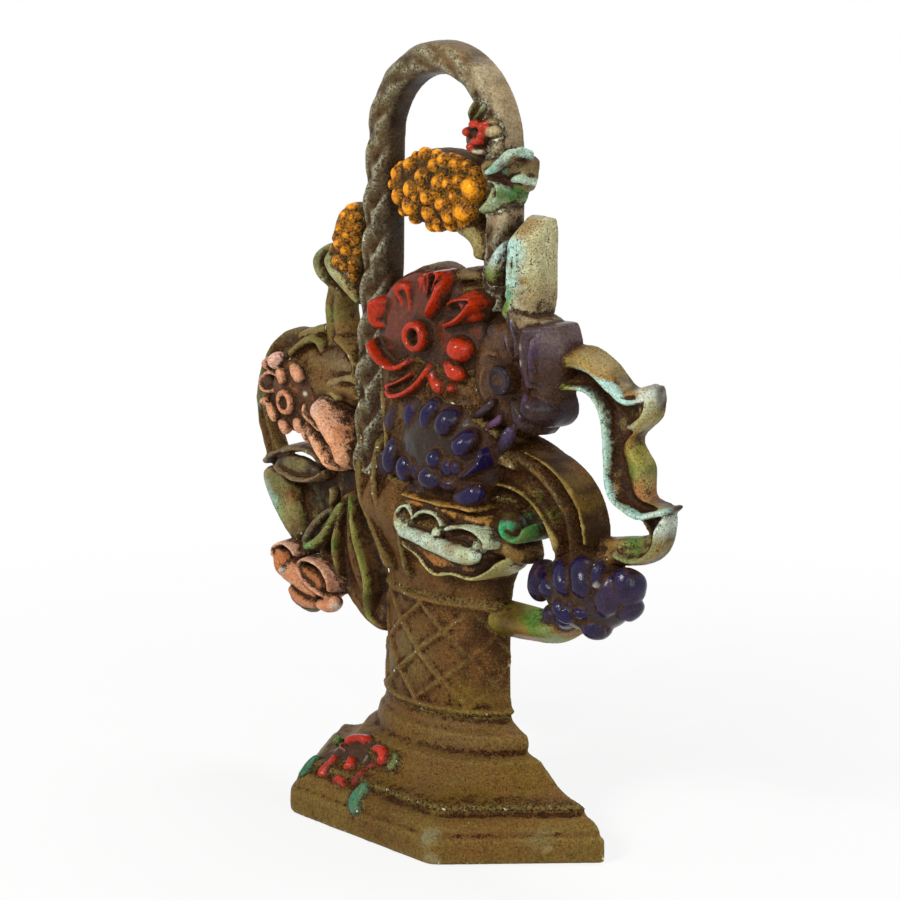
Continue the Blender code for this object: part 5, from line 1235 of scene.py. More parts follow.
def build_trumpet():
    body = petal([(-10.6, 105.4, 4.5), (2.8, 104.5, 8), (18.4, 103.9, 9.5), (31.8, 103.8, 8.5),
        (40.6, 104.1, 6)], (18, 20, 20, 18), (19.5, 21.2, 20.5, 18), (20, 21.3, 20.5, 18),
        (19.5, 20, 19.5, 17), (16, 16.5, 15.5, 14), seat=3, square=3.2, ends=(0.1, 0.2), count=70,
        across=40)
    slope = petal([(-3.5, 114.5, 2.6), (10.4, 114.9, 3.4), (23.9, 113.5, 4), (33.9, 111.2, 4),
        (39.3, 108.5, 3)], (23, 22, 20.5), (24, 22.5, 20.5), (23.5, 22, 20.5), (22, 20.5, 18.5),
        (18.5, 17.5, 16.5), seat=3)
    loops = [
        ridge([(-0.4, 103.4, 23), (-3, 105, 23.5), (-4.2, 108.3, 23.8), (-3.1, 111.4, 24.1),
            (0.2, 113.9, 24.3), (3.2, 113.4, 24.3), (4.6, 110.9, 24.1), (3.7, 107.5, 23.7)], width=1.35,
            seat=6, count=80),
        ridge([(4.8, 110.2, 24), (8.1, 112.7, 24.5), (11.8, 114, 24.7), (15.7, 113.9, 24.7),
            (18.7, 112.1, 24.7), (20.1, 109.4, 24.7)], width=1.35, seat=6),
        ridge([(20.4, 108.8, 24.7), (24.4, 110.6, 24.7), (29, 111.5, 24.5), (33.6, 111.4, 24.3),
            (37.5, 110.1, 24), (39.8, 107.9, 23.7), (39, 104.8, 23.5)], width=1.35, seat=6),
        knob(-2.7, 21, 106.9, 3.1, 3.7, 2.8), knob(17, 22, 107.4, 2.4, 2.3, 2.8),
        knob(0.8, 21.5, 105.6, 3.4, 3.3, 2.6), knob(8.1, 22, 104.6, 4.4, 2.2, 2.4),
        knob(15.3, 22.1, 104.9, 3.3, 2.3, 2.4), knob(26, 21.7, 103.9, 6.1, 2.3, 2.4),
        knob(35.2, 20, 105.8, 2.8, 2.8, 3)]
    band = tube([(-2.8, 22.2, 104.4, 1.6, 2), (4.8, 23.2, 104.8, 2.5, 2.7), (11.9, 23.8, 104.3, 2.8, 2.7),
        (18.8, 24, 103.3, 3.1, 2.7), (27.1, 24, 102.6, 3.2, 2.7), (34, 23.4, 102.5, 2.9, 2.7),
        (38.1, 22.6, 103.6, 1.9, 2)], 80, 24, ends=(0.06, 0.08))
    skirt = petal([(-9.9, 99.6, 2.4), (0.9, 97.8, 4), (14.3, 96.2, 5), (27.9, 96.6, 5.2), (37.6, 100.1, 4)],
        (20, 19, 18.5), (20.5, 19.3, 19), (21, 19.5, 19.5), (20.5, 19, 19), (17.5, 17, 16.5), seat=3,
        square=3, ends=(0.12, 0.2), count=60)
    hem = ridge([(-8.2, 100.9, 20), (-1.5, 98.2, 20.5), (4.2, 96.8, 21.1), (8, 94, 21.3), (13, 91.8, 21.3),
        (21.2, 93.5, 21.1), (30.5, 93.4, 20.7), (37.8, 97.2, 19.9), (42.3, 101.8, 18.5)], width=1.35,
        seat=3, count=90)
    under = ridge([(-3.8, 101.9, 21), (6.1, 101.7, 21.5), (12, 100.8, 21.7), (16.5, 100.5, 21.9),
        (20.7, 98.6, 21.9), (28.6, 98.4, 21.5), (33.4, 99.8, 20.9)], width=0.8, seat=3, count=70)
    crest = ridge([(-3.3, 117.5, 23.1), (7.6, 117.5, 24.1), (19.3, 117.5, 24.5), (27.7, 117.8, 23.9),
        (33.7, 116.9, 22.5)], width=1.3, seat=3)
    right = petal([(32.9, 107.5, 5), (38.8, 105.9, 6), (43.1, 103.8, 6), (45.8, 104.6, 4.5)],
        (19, 18.5, 17.5), (18, 18, 16.5), (15.5, 15.5, 13.5), (12.5, 12.5, 10.5), seat=1, ends=(0.2, 0.3))
    # The first three patches are painted shade in the throats of the cups
    Piece("cream_petunia", ["cream_trumpet"], "cream_enamel", "cream",
        [(body, "#a5702e"), (slope, "#a66a22")] + [(grid, "#b2bd9a") for grid in loops] + [
            (band, "#b4c4ac"), (skirt, "#a06c30"), (hem, "#b0a86c"), (under, "#b0b688"), (crest, "#a0742e"),
            (right, "#84602c")], CREAM, cell=0.45,
        spots=((11.3, 108.4, 2.6, "#744016", 0.8), (26.6, 106.8, 3.4, "#70401a", 0.8),
            (-3.5, 109.8, 1.8, "#77502a", 0.8), (33.1, 103.7, 3, "#b4b78a", 0.6),
            (34.3, 98.1, 4, "#8f8648", 0.7)))
    tuft = ridge([(41.9, 115.7, 17.5), (43, 112.8, 19.5), (45.6, 110.5, 20.3), (49.6, 109.8, 20.3),
        (52.7, 111.7, 19.5), (53, 115.1, 18)], width=1.7, seat=0)
    # The near-black lump in the tuft's curve is painted shade
    nest = knob(42.3, 13, 112.6, 6.1, 5.1, 5)
    Piece("green_tuft", ["cream_trumpet"], "green_enamel", "green", [(tuft, "#3d6e36"), (nest, "#2c1e10")],
        "#5a4a22", spots=((44.9, 112.3, 2.4, "#2f9a60", 1.0), (50.2, 110.2, 2.0, "#2b8a4c", 0.9)), cell=0.5)


def build_handle_leaves():
    leaf = petal([(24, 228.6, 4.8), (31, 228.8, 6.4), (38, 228.4, 6.2), (41.5, 227.6, 4.8)],
        (9, 11.5, 10.5, 9), (9, 12.0, 10.6, 11), (7, 10.5, 8.5, 8), (5, 7, 6, 5), square=5,
        ends=(0.1, 0.06), count=60)
    tips = [
        tube([(28.2, 12, 228.4, 0.7, 1.2), (33, 13, 230.1, 1.5, 1.6), (37.3, 13.4, 232.6, 1.7, 1.7),
            (39.4, 12.6, 235.3, 1.5, 1.7), (40.2, 10.2, 236.1, 1.2, 1.9), (40.1, 6, 235.7, 1.2, 1.9),
            (40.8, 2, 234.6, 1.1, 1.6)], 60, 20, ends=(0.1, 0.03)),
        tube([(37.6, 9.5, 226.4, 0.7, 1.1), (40.2, 8.2, 227.4, 1.3, 1.6), (41, 4.6, 226.6, 1.3, 1.7),
            (42.4, 2, 225.6, 1.1, 1.4)], 40, 20, ends=(0.15, 0.03))]
    leaflet = petal([(23.5, 215.2, 1.4), (29.6, 218, 3.2), (33.3, 222.3, 3.8), (30.9, 225.8, 3)],
        (10, 11.5, 11, 10), (10, 13, 12, 10.5), (10, 13.6, 12, 11), (10, 12.5, 12, 11), ends=(0.1, 0.2))
    sprig = ridge([(31.1, 218.2, 12.5), (35.6, 222, 14), (34.4, 225.5, 14), (29.1, 226.2, 12.5)], width=1.0)
    stem = tube([(12, 6, 208.9, 3, 4.5), (18.9, 7, 207.8, 3.4, 4.6), (23.2, 7.5, 204, 3.2, 4.6),
        (23.6, 7.5, 198.9, 3, 4.4)], 30, 20)
    Piece("folded_leaf", ["pale_leaf_tips"], "aqua_enamel", "cream",
        [(leaf, "#7d6a44")] + [(grid, "#a9cbbb") for grid in tips] + [(leaflet, "#93a276"),
            (sprig, "#9db89c"), (stem, "#8a7a48")], AQUA, cell=0.45,
        spots=((36.8, 222.2, 2.2, "#3f7a34", 0.9), (34.5, 230.7, 2.2, "#5fae92", 0.8),
            (38.4, 231.1, 2.4, "#4e2f1a", 0.8), (40.2, 231.9, 2.4, "#4e2f1a", 0.8)))
    bud = petal([(18.8, 242.8, 2.8), (22.6, 247.7, 4.4), (24.4, 251.5, 4.2), (24.3, 253.6, 2.6)],
        (6, 9, 8.5, 9, 7), (7, 12.5, 9.5, 13, 8), (7, 12.5, 9.5, 12.5, 8), (6, 10, 8.5, 10, 6),
        ends=(0.05, 0.25), count=40, across=32)
    Piece("flower_bud_form", ["flower_bud"], "green_enamel", "green", [bud], "#5f6c3c", cell=0.45,
        spots=((27, 250.8, 1.6, "#a3b090", 0.8), (21.6, 248.6, 1.4, "#8fa07a", 0.6)))
    red = [knob(20.1, 11.2, 241.4, 2.4, 1.8, 3), knob(24.1, 11.6, 244.1, 2.8, 1.6, 3.2),
        knob(27.8, 11.6, 243.6, 2.1, 1.9, 3), knob(27.1, 11.2, 241, 2.1, 1.8, 3),
        knob(25, 11.6, 238.8, 2.5, 1.7, 3.2), knob(22.4, 11.6, 236.7, 2.1, 1.6, 3)]
    other = [
        (knob(22, 9, 240.6, 3.3, 2.8, 3), "#3e2f16"), (knob(30.1, 9.5, 242.1, 3.3, 2.3, 3.4), "#a39268"),
        (knob(24.7, 10.5, 235.4, 3.6, 1.3, 3), "#b3a88a"), (knob(28.8, 8.5, 245, 3.3, 1.8, 3), "#7d6b40"),
        (button(22.0, 239.4, [(6.6, 0), (6.6, 8), (4.9, 9.5), (0.1, 9.8)], count=16, around=24), "#4c361c")]
    Piece("small_red_form", ["small_red_flower"], "red_enamel", "red", red + other, POPPY_RED, rough=0.12,
        cell=0.4)


def build_left_side():
    cup = [
        (petal([(-39.4, 176.4, 1.6), (-43.2, 180.1, 3), (-47.7, 184, 4.2), (-53.4, 188.1, 5),
            (-56.3, 192, 4.6), (-55.3, 195.3, 3)], (7, 9, 8), (7, 10.5, 9), (7, 11, 9.5), (7, 11, 9.5),
            (6, 10.5, 9), (5, 8, 8), ends=(0.08, 0.2), count=70), "#8f8c58"),
        (petal([(-56.5, 180.5, 1.4), (-61.4, 184.3, 2.6), (-64, 188.4, 3), (-62.9, 192.1, 2.8),
            (-59, 195.1, 2)], (5, 6.5, 5), (5, 8.5, 6), (5, 8.5, 6), (4, 8, 6), (4, 6, 5), ends=(0.1, 0.2),
            count=60), "#74754c")]
    Piece("cup_leaf_form", ["left_cup_leaf"], "cream_enamel", "cream", cup, "#8f8c5c",
        spots=((-51.2, 185.4, 3, "#a9a77e", 0.8), (-58.2, 193.3, 3, "#74803e", 0.7),
            (-42.5, 180.6, 2.4, "#9a7a48", 0.7)), cell=0.5)
    stem = petal([(-53, 160, 7.6), (-54.2, 168, 6.6), (-54.6, 175, 6.0), (-53, 181, 6.0)],
        (5, 8.5, 7.5, 8.5, 6), (5, 9, 7.5, 9, 6), square=2.6, ends=(0.0, 0.0))
    Piece("left_stem_form", ["left_flower_stem"], "olive_enamel", "green", [stem], "#66562a",
        spots=((-56, 171, 4, "#6f7a34", 0.8), (-50, 165, 4, "#8a5a2c", 0.7)), rough=0.3)
    mass = petal([(-38, 150, 11.5), (-48, 150, 12.5), (-60, 149.0, 13.8), (-72, 150, 11.8),
        (-84, 151, 8.0)], (8, 10, 12, 9.5, 11, 9.5, 8), (7, 9, 12.5, 10, 12, 11, 8),
        (6, 9, 11, 10.5, 11, 10, 8), (5, 8, 10, 10, 9, 8, 6), (4, 7, 8, 8, 7, 6, 4), square=3.0,
        ends=(0.05, 0.2), count=80, across=44)
    folds = [
        ridge([(-74.1, 160.6, 8), (-66.8, 163.5, 9), (-60.9, 165.2, 9), (-57.5, 165.9, 8.5)], width=2.2),
        ridge([(-77.2, 153.9, 10.5), (-70.9, 158.5, 11.5), (-64.3, 161.6, 12), (-59.3, 161, 12),
            (-57.6, 156.6, 11)], width=1.8),
        ridge([(-59, 144.7, 10), (-50.7, 148, 12), (-43.2, 150.4, 13), (-38.1, 150.4, 12),
            (-36.4, 149.9, 11)], width=2.0),
        ridge([(-52.3, 163.5, 10), (-45.6, 161.8, 12), (-40.8, 158.3, 12.5), (-38.5, 154.1, 12),
            (-41.1, 151.2, 11.5)], width=1.5),
        ridge([(-56.9, 143.4, 10.5), (-51.2, 143.8, 12), (-47.7, 142.1, 12.5)], width=1.4)]
    Piece("left_leaves", ["left_leaf_mass"], "olive_enamel", "toned",
        [mass] + list(zip(folds, ("#857446", "#857448", "#94805a", "#8d7040", "#98905c"))), "#6f5534",
        spots=((-60.3, 162.5, 3, "#6f7434", 0.7), (-38.4, 143.2, 4, "#7a4e22", 0.7),
            (-46.7, 153, 5, "#84725a", 0.6), (-52.7, 157.9, 4, "#574a3a", 0.6)), rough=0.35, cell=0.5)
    pink = [
        (knob(-81.5, 11, 151.7, 2.8, 3.2, 4.5), "#d3a793"),
        (knob(-87.2, 10, 149.9, 1.7, 2.5, 3.8), "#c48d72"),
        ridge([(-91.9, 145.1, 10.5), (-92.6, 142.8, 11.5), (-90.8, 140.5, 12.4), (-87.2, 139.6, 12.8),
            (-83.8, 140.4, 12.6)], width=1.2, seat=2),
        ridge([(-91.8, 145.2, 10.5), (-85.7, 146.8, 12), (-80.9, 146.2, 12.6)], width=1.1, seat=2),
        tube([(-70.9, 12.5, 151.6, 1.5, 1.9), (-67.9, 13.2, 149.3, 2.3, 2.5),
            (-66.4, 12.5, 146.1, 1.7, 2.1)], 30, 18),
        tube([(-79.2, 12, 148.8, 1.3, 1.9), (-77, 12.6, 146.7, 1.9, 2.3), (-77, 12, 143.9, 1.2, 1.7)], 30,
            18),
        knob(-87.2, 11.8, 136.2, 1.9, 1.7, 3.2),
        tube([(-85.5, 12, 135.6, 1.5, 1.9), (-82, 12.6, 132.6, 2, 2.5), (-81.4, 12, 129.4, 1.3, 1.7)], 30,
            18),
        tube([(-78, 12, 130.3, 1.5, 1.9), (-75.4, 12.8, 128.6, 2, 2.5), (-75.3, 11.5, 126.3, 1.5, 1.9)], 30,
            18),
        tube([(-69.8, 12, 132.2, 1.3, 1.7), (-67.8, 12.6, 130.1, 1.9, 2.3), (-67.2, 11.5, 127.9, 1.5, 1.9)],
            30, 18),
        tube([(-66.4, 11.5, 129.8, 1.3, 1.7), (-64, 11.8, 126.9, 1.9, 2.3), (-63.7, 10.5, 124.7, 1.4, 1.7)],
            30, 18),
        (button(-73.5, 139.5, [(13, 5), (13, 9.2), (10, 11.2), (0.1, 11.9)]), "#54351e"),
        (knob(-89.5, 9, 142.3, 3.5, 2.7, 2), "#3a2318")]
    Piece("daisy_petals", ["pink_daisy"], "pink_enamel", "pink", pink, SALMON, rough=0.2, cell=0.45,
        spots=((-66, 141.7, 1.2, "#d9cfbf", 0.9),))
    ring = button(-74.7, 137.7,
        [(3.9, 9), (4.2, 13.0), (3.9, 14.6), (3.1, 15.0), (2.3, 14.2), (1.6, 12.8), (0.1, 12.6)],
        stretch=(0.95, 1.1), turn=20, count=26)
    Piece("daisy_ring_form", ["daisy_ring"], "pink_enamel", "pink", [ring], SALMON,
        deep=(12.0, 13.8, "#4a2a14"), rough=0.12, cell=0.4)
    bell = [
        petal([(-59.9, 142.5, 3), (-58, 139.1, 5.4), (-53.6, 134.7, 5.6), (-49.3, 130.1, 5),
            (-46.3, 125.7, 4.6), (-45.3, 120.9, 4.2), (-46, 116.5, 2.8)], (10, 12, 11, 9),
            (12, 15.5, 15.5, 12), (12.5, 16.5, 16, 12), (12, 16, 16, 12), (11.5, 15.5, 15.5, 11.5),
            (11, 14.5, 14.5, 11), (10, 12, 12, 10), ends=(0.15, 0.14), count=80, across=36),
        petal([(-66.2, 133.2, 2.2), (-62.1, 128.2, 2.8), (-58.2, 123.6, 3), (-54.5, 119.3, 3.2),
            (-51.2, 114.9, 2.8)], (10, 12.5, 11), (10, 13.5, 12), (10, 13.8, 12), (10, 13.5, 12),
            (9, 12, 11), ends=(0.2, 0.2), count=50),
        ridge([(-66, 138.8, 12.5), (-66, 135.9, 13), (-64.3, 133.6, 13.2), (-60.3, 131.6, 13.2),
            (-56.6, 129.2, 13)], width=1.3)]
    # The palest patch, at the bell's top left, is a painted highlight
    Piece("pink_bell_form", ["pink_bell"], "pink_enamel", "pink", bell, "#e3a67c",
        spots=((-58, 139.3, 4.4, "#d8b09a", 0.9), (-49.6, 134.2, 3.4, "#d09a7c", 0.7),
            (-48.2, 141.4, 3, "#a45a30", 0.7), (-43.2, 131.7, 2.6, "#b0602c", 0.6),
            (-62.5, 131, 1.6, "#4a2a16", 0.8)), rough=0.28, cell=0.45)
    strip = petal([(-70, 158.5, 4.6), (-80, 158.5, 4.6), (-90, 152.5, 4.2), (-96, 142, 3.8),
        (-97.6, 132, 3.6), (-95, 122.5, 3.6), (-90.5, 113.5, 3.6)], (7, 6, 7.5), (6.5, 5, 7), (7, 5, 7),
        (8, 5.5, 7), (7.5, 5.5, 7), (7, 5.5, 7), square=4, ends=(0.03, 0.03), count=120)
    Piece("left_strip", ["left_ribbon"], "aqua_enamel", "toned", [strip], "#50391c",
        spots=((-99, 141, 4, "#869e84", 0.7), (-99, 134, 3, "#7a9270", 0.6), (-82, 160, 6, "#54503a", 0.6),
            (-93, 148, 4, "#5a6a34", 0.6)), rough=0.3)


def build_left_loop():
    wall = petal([(-72.7, 85.7, 3.6), (-77.9, 91.5, 5.6), (-81.8, 97.4, 7.2), (-85.1, 103.4, 8.6),
        (-87.6, 107.9, 8.6), (-88.1, 111.8, 7.6)], (6, 9, 9, 9.5, 9), (6, 10, 10.5, 10.5, 11.5),
        (5, 10.5, 11, 10.5, 12.5), (5, 10.5, 11.5, 11, 12.8), (6, 10, 11, 11, 12), square=4,
        ends=(0.06, 0.1), count=80, across=40)
    # The low sheet inside the loop and the floor of its cup are near-black painted shade
    back = petal([(-62, 115, 14), (-62, 104, 14), (-64, 95, 12), (-66, 86, 9)], (2.5, 2.5, 3, 4),
        (2.5, 2, 2.5, 4), (2.5, 2, 2.5, 4), (3, 3, 3.5, 4), square=5, ends=(0.05, 0.05), count=50)
    floor = knob(-76.4, 6, 112, 13.1, 4.9, 3.5)
    front_rim = ridge([(-88, 112.2, 10), (-81, 110.5, 12), (-73.3, 109.5, 13), (-66.4, 109.9, 13),
        (-61, 111.9, 12.2), (-58.3, 114.8, 10.5)], width=1.3, count=80)
    back_rim = ridge([(-98.3, 110.3, 6.5), (-92.3, 114.2, 7.5), (-84.6, 117.5, 8), (-75.3, 119.7, 8),
        (-67, 118.6, 8), (-61.2, 115.3, 8.5)], width=1.6, count=80)
    brace = tube([(-53.2, 8.5, 101.4, 1.4, 2.4), (-59.4, 9, 97.2, 1.6, 2.7), (-65.5, 9, 90.9, 1.6, 2.7),
        (-70.2, 8.5, 84.9, 1.4, 2.4)], 50, 20)
    far = tube([(-49, 8, 104.5, 1.4, 2.4), (-51.8, 9, 99.5, 1.6, 2.7), (-56.5, 9.6, 92.6, 1.6, 2.7),
        (-62.1, 10, 87, 1.9, 2.7), (-69.1, 10, 84.5, 1.3, 2.2)], 60, 20)
    tie = tube([(-55.2, 8, 109.1, 1.4, 2.4), (-53.6, 8, 106.9, 1.4, 2.6), (-54.6, 8, 102.3, 1.4, 2.6)], 30,
        18)
    Piece("ribbon_loop_form", ["left_ribbon_loop"], "aqua_enamel", "cream",
        [(wall, "#6d6638"), (back, "#1d130b"), (floor, "#2b1f13"), (front_rim, "#7a6342"),
            (back_rim, "#6a573a"), (brace, "#5c4d38"), (far, "#6b6f34"), (tie, "#574024")], AQUA,
        spots=((-91, 102.4, 4.5, "#94ad9c", 0.9), (-85.8, 98.3, 3.4, "#8fae98", 0.9),
            (-82.7, 94.8, 3, "#74965e", 0.8), (-75.8, 102.1, 3, "#7a4a22", 0.8),
            (-75, 90.1, 3.4, "#5c3c1c", 0.7), (-64, 86.6, 3, "#6d9a56", 0.9),
            (-92, 110.7, 3, "#7d5a3c", 0.6)), rough=0.28, cell=0.5)
    edges = [(-50.5, 107.5, -43.5, 110.0), (-55.5, 98.0, -42.0, 100.0), (-59.0, 88.0, -40.0, 90.0),
        (-58.5, 78.0, -36.5, 81.5), (-50.0, 67.5, -33.0, 75.0), (-40.5, 61.0, -29.5, 69.0),
        (-31.0, 57.8, -26.5, 63.5)]
    leaf = relief(edges,
        field((6, 8.5, 8, 7, 8.5, 7, 6), (5, 8, 6.5, 6, 8.5, 6.5, 5), (5, 8, 6, 5.5, 8.5, 6, 4.5),
            (5, 8, 6, 5.5, 8.5, 5.5, 4.5), (5, 7.5, 6, 6, 8, 5.5, 4.5), (4, 7, 6, 7, 7.5, 5.5, 4),
            (4, 6, 6, 6, 6, 5, 4)), 120, 48, square=3.2, ends=(0.04, 0.08))
    ribs = [
        ridge([(-49.1, 102, 9.5), (-51.3, 95.4, 10.5), (-52.5, 88.3, 11), (-52, 82.5, 11),
            (-51, 77.6, 10.5), (-51.2, 71.4, 9)], width=1.3, count=70),
        ridge([(-44.9, 104.6, 9), (-42.7, 97.9, 10.5), (-39.9, 90.7, 11.5), (-36.5, 84.1, 12),
            (-34.4, 77.7, 12), (-34.5, 70.2, 11.5), (-33.9, 65.2, 10.5), (-30.4, 62.3, 9),
            (-26.9, 61.3, 8)], width=1.4, count=90),
        ridge([(-58, 90.5, 9), (-60.5, 84.6, 9.5), (-58.7, 80, 9.5), (-55.2, 76.6, 9)], width=1.4,
            count=50)]
    Piece("fluted_leaf_form", ["lower_left_leaf"], "olive_enamel", "green",
        [leaf, (ribs[0], "#8a7a48"), (ribs[1], "#85843f"), (ribs[2], "#6a8038")], "#755630",
        deep=(8.2, 10.2, "#654622"),
        spots=((-51, 88.3, 2.6, "#4c6a26", 0.9), (-46.3, 103.5, 3, "#5c7a2c", 0.9),
            (-58.4, 81.1, 3, "#5a8a44", 0.9), (-35.5, 71.6, 4, "#33231a", 0.7),
            (-41.5, 89.9, 3, "#6a4a24", 0.6)), cell=0.5, rough=0.28)
    lobes = [
        (petal([(-78.5, 72.1, 2.4), (-81.3, 75.2, 5.2), (-81.6, 79.6, 5.4), (-80, 83.1, 3.2)], (11, 12, 11),
            (12, 12.5, 11.5), (13, 12, 12), (13, 13, 12), ends=(0.2, 0.2)), "#b8713f"),
        (ridge([(-85.7, 77.4, 12.4), (-84, 82, 13.6), (-77.5, 85, 14.6), (-71.9, 84, 15),
            (-68.5, 81.1, 15)], width=1.0), "#d0a082"),
        (petal([(-70.5, 77.2, 3), (-64.6, 74.6, 5), (-59, 72, 5), (-55.3, 69.4, 3)], (13.6, 13.2, 13.6),
            (14.6, 13.2, 14.6), (14.6, 13.2, 14.6), (13.6, 13.2, 13.6), ends=(0.15, 0.2)), "#a0602f"),
        (ridge([(-69.2, 78.4, 14.6), (-64.4, 81.4, 15.4), (-57.4, 81.5, 16), (-52.6, 79.3, 16),
            (-50.5, 75.1, 15.4), (-51.4, 70.8, 14.2)], width=1.0), "#d0a082"),
        (ridge([(-69.4, 78.2, 14.6), (-65.5, 74.6, 15.4), (-59.5, 71.5, 15.4), (-53, 69, 14.6)], width=1.1),
            "#cb9272"),
        (tube([(-76.9, 9.5, 68.2, 1.2, 2.1), (-72.5, 10.5, 66, 1.8, 2.6), (-66.6, 11, 64.6, 1.9, 2.7),
            (-59.8, 11, 64.8, 1.6, 2.4)], 40, 20), "#b27650"),
        tube([(-59.6, 10.5, 65, 1.8, 2.6), (-53, 11, 66.3, 3, 3.5), (-49.1, 10, 68.6, 2.2, 2.9)], 30, 22),
        (petal([(-87.6, 75.6, 3), (-80, 74.6, 5.5), (-70.2, 72.5, 6.5), (-61.9, 70.1, 6), (-56.5, 68.6, 4)],
            (10, 11.5, 11), (10.5, 12.4, 12), (10.5, 12.6, 12), (10, 12, 11), ends=(0.15, 0.2)), "#c98a63"),
        (knob(-72.5, 8, 65, 6.8, 4, 2.5), "#6a3c22"), (knob(-78.5, 11.8, 74.6, 1.6, 1.2, 2.6), "#b9ac9c")]
    Piece("lobed_flower_form", ["lobed_pink_flower"], "pink_enamel", "pink", lobes, SALMON,
        spots=((-49.1, 66, 1.6, "#cfbfae", 0.7), (-53.6, 67.1, 2.6, "#b86a34", 0.6)), rough=0.22, cell=0.45)
    under = petal([(-80, 66.5, 3.6), (-76, 62.5, 4.6), (-70, 60.5, 3.6)], (3, 7, 5), (3, 8, 5),
        ends=(0.2, 0.3))
    Piece("under_leaf", ["lobed_pink_flower"], "olive_enamel", "green", [under], "#55512a", rough=0.3)


def build_core():
    edges = rails([(5, 116, 37), (5.5, 140, 37), (5, 160, 36.5), (3, 177, 33), (1.5, 193, 23)], 80)
    depths = field((8, 11, 13, 13, 12, 10, 8), (9, 14, 17, 17, 16, 13, 9), (9, 14, 16, 16, 15, 13, 9),
        (8, 12, 13, 13, 12, 11, 8), (5, 7, 8, 8, 8, 7, 5))
    body = relief(edges, depths, 120, 70, square=3.6, ends=(0.0, 0.03))
    crests = [
        ridge([(-15, 186, 8), (-8, 191.0, 9.8), (0, 193.0, 10.2), (7, 191.5, 9)], width=2.6),
        ridge([(5, 189.5, 10), (12, 192.0, 11.5), (20, 193.5, 10.5), (26, 192.5, 8)], width=2.8),
        ridge([(14, 187.5, 11), (22, 188.5, 12.5), (31, 187, 9)], width=2.6),
        ridge([(-8, 187, 11), (-1, 188, 12), (6, 186.5, 11.5)], width=2.2),
        ridge([(-24, 150, 12), (-20, 143, 15), (-18, 134, 15.5), (-20, 124, 14)], width=2.2),
        ridge([(22, 148, 15), (30, 146, 16), (38, 142, 15)], width=2.6),
        ridge([(28, 139, 14), (36, 135, 15), (44, 133, 13)], width=2.4),
        ridge([(-12, 150, 14), (-4, 152, 16), (6, 150, 16), (14, 152.5, 15.5)], width=2.0)]
    Piece("bouquet_body", ["bouquet_core"], "brown_enamel", "toned",
        [body] + [(grid, "#7a6142") for grid in crests], "#5a4430", deep=(6, 13, "#3a281c"),
        spots=((0, 190, 9, "#7a6350", 0.7), (18, 190, 10, "#77604c", 0.7), (24, 143, 5, "#7a5a30", 0.5),
            (-14, 145, 5, "#6b5232", 0.5)), rough=0.4)


def build_base_flower():
    lean = math.radians(42)
    centre = np.array([-18.0, 31.5, 19.5])
    out = np.array([0.0, math.cos(lean), math.sin(lean)])
    up = np.array([0.0, -math.sin(lean), math.cos(lean)])

    def tilt(grid):
        flat = grid.reshape(-1, 3)
        turned = centre + flat[:, 0:1] * (1, 0, 0) + flat[:, 2:3] * up + flat[:, 1:2] * out
        return turned.reshape(grid.shape)

    def form(line, rise, side=0.5, wide=1.2):
        line = [(x, z, w * wide) for x, z, w in line]
        return tilt(petal(line, (side * rise, rise, side * rise), seat=-3, ends=(0.12, 0.2), count=28,
            across=20, square=2.4))

    leaves = [
        (form([(-13.4, -1.8, 1), (-15.5, -5.6, 1.8), (-15.9, -9.4, 2.2), (-15.5, -12.9, 1.4)], 4.4, 0.85,
            1.6), "#2c6848"),
        (form([(17.9, 8.7, 1.6), (20.6, 5.4, 3.4), (19.6, 3, 2.8), (18.8, 0.7, 1)], 3.0, 0.5, 1.1),
            "#65703a"),
        (form([(15.5, -5.2, 1.2), (14.9, -7.9, 2.4), (14.7, -11.6, 2.9), (16.1, -14.6, 2.2),
            (19.6, -16.4, 1.2)], 5.0, 0.85, 1.7), "#3a7758"),
        (form([(-11.8, 7.7, 1), (-11.3, 5.9, 1.6), (-12.8, 4.3, 1)], 2.8, 0.5, 1.2), "#557836")]
    Piece("base_leaves_form", ["base_leaves"], "green_enamel", "green", leaves, LEAF_GREEN, rough=0.16,
        spots=((-40.9, 8.6, 1.6, "#b9cdbd", 0.8), (-5.7, 6.7, 1.4, "#c4cdbf", 0.8),
            (12.1, 27.7, 1.0, "#d0cba8", 0.8)))
    petals = [
        form([(-5.9, 4.7, 1.8), (-4.4, 7.4, 2.5), (-1.1, 8.8, 2.5), (2.9, 8.9, 2.7), (4.2, 8.1, 1.8)], 4.0),
        form([(8, 7.4, 1.9), (12.9, 6.8, 2.9), (14.9, 4.6, 3), (12.8, 2.3, 1.9)], 4.2),
        form([(-6.2, 0.5, 1.6), (-6.5, -3.2, 2.6), (-7.4, -6.6, 3.6), (-7.6, -10.1, 2.5)], 4.4),
        form([(1.6, 1.4, 1.8), (2.7, -1.5, 3.1), (2, -4.3, 1.9)], 5.0),
        form([(-0.6, -9.5, 1.9), (2, -7.8, 3.4), (5.7, -9.7, 2.6), (6, -10.6, 1.6)], 4.2),
        form([(9.9, -8.2, 1.7), (9.3, -6.3, 2.5), (9.7, -3.5, 2.6), (10.7, -1.3, 1.7)], 4.0),
        form([(9.5, -0.3, 1.2), (11.6, 0.9, 1.3), (11.5, 2.8, 1)], 3.2)]
    tips = [
        (form([(2.7, -9.7, 0.9), (5.2, -11.4, 1), (6.8, -12.7, 0.6)], 2.4), "#b07a42"),
        (form([(-8.4, 5.6, 0.9), (-7.2, 3.6, 1), (-4.1, 3, 0.8)], 2.8), "#8c4a34"),
        (form([(6.9, 4.3, 0.8), (6.8, 1.6, 0.9), (4.6, 0.4, 0.7)], 2.4), "#8f7f5c")]
    hollow = tilt(button(1.5, -0.5, [(12.5, -3), (12.5, 0.4), (9, 1.3), (0.1, 1.5)]))
    Piece("base_flower_form", ["base_flower"], "red_enamel", "red", petals + tips + [(hollow, "#54301c")],
        "#b4260c", rough=0.12)


# The room, in metres

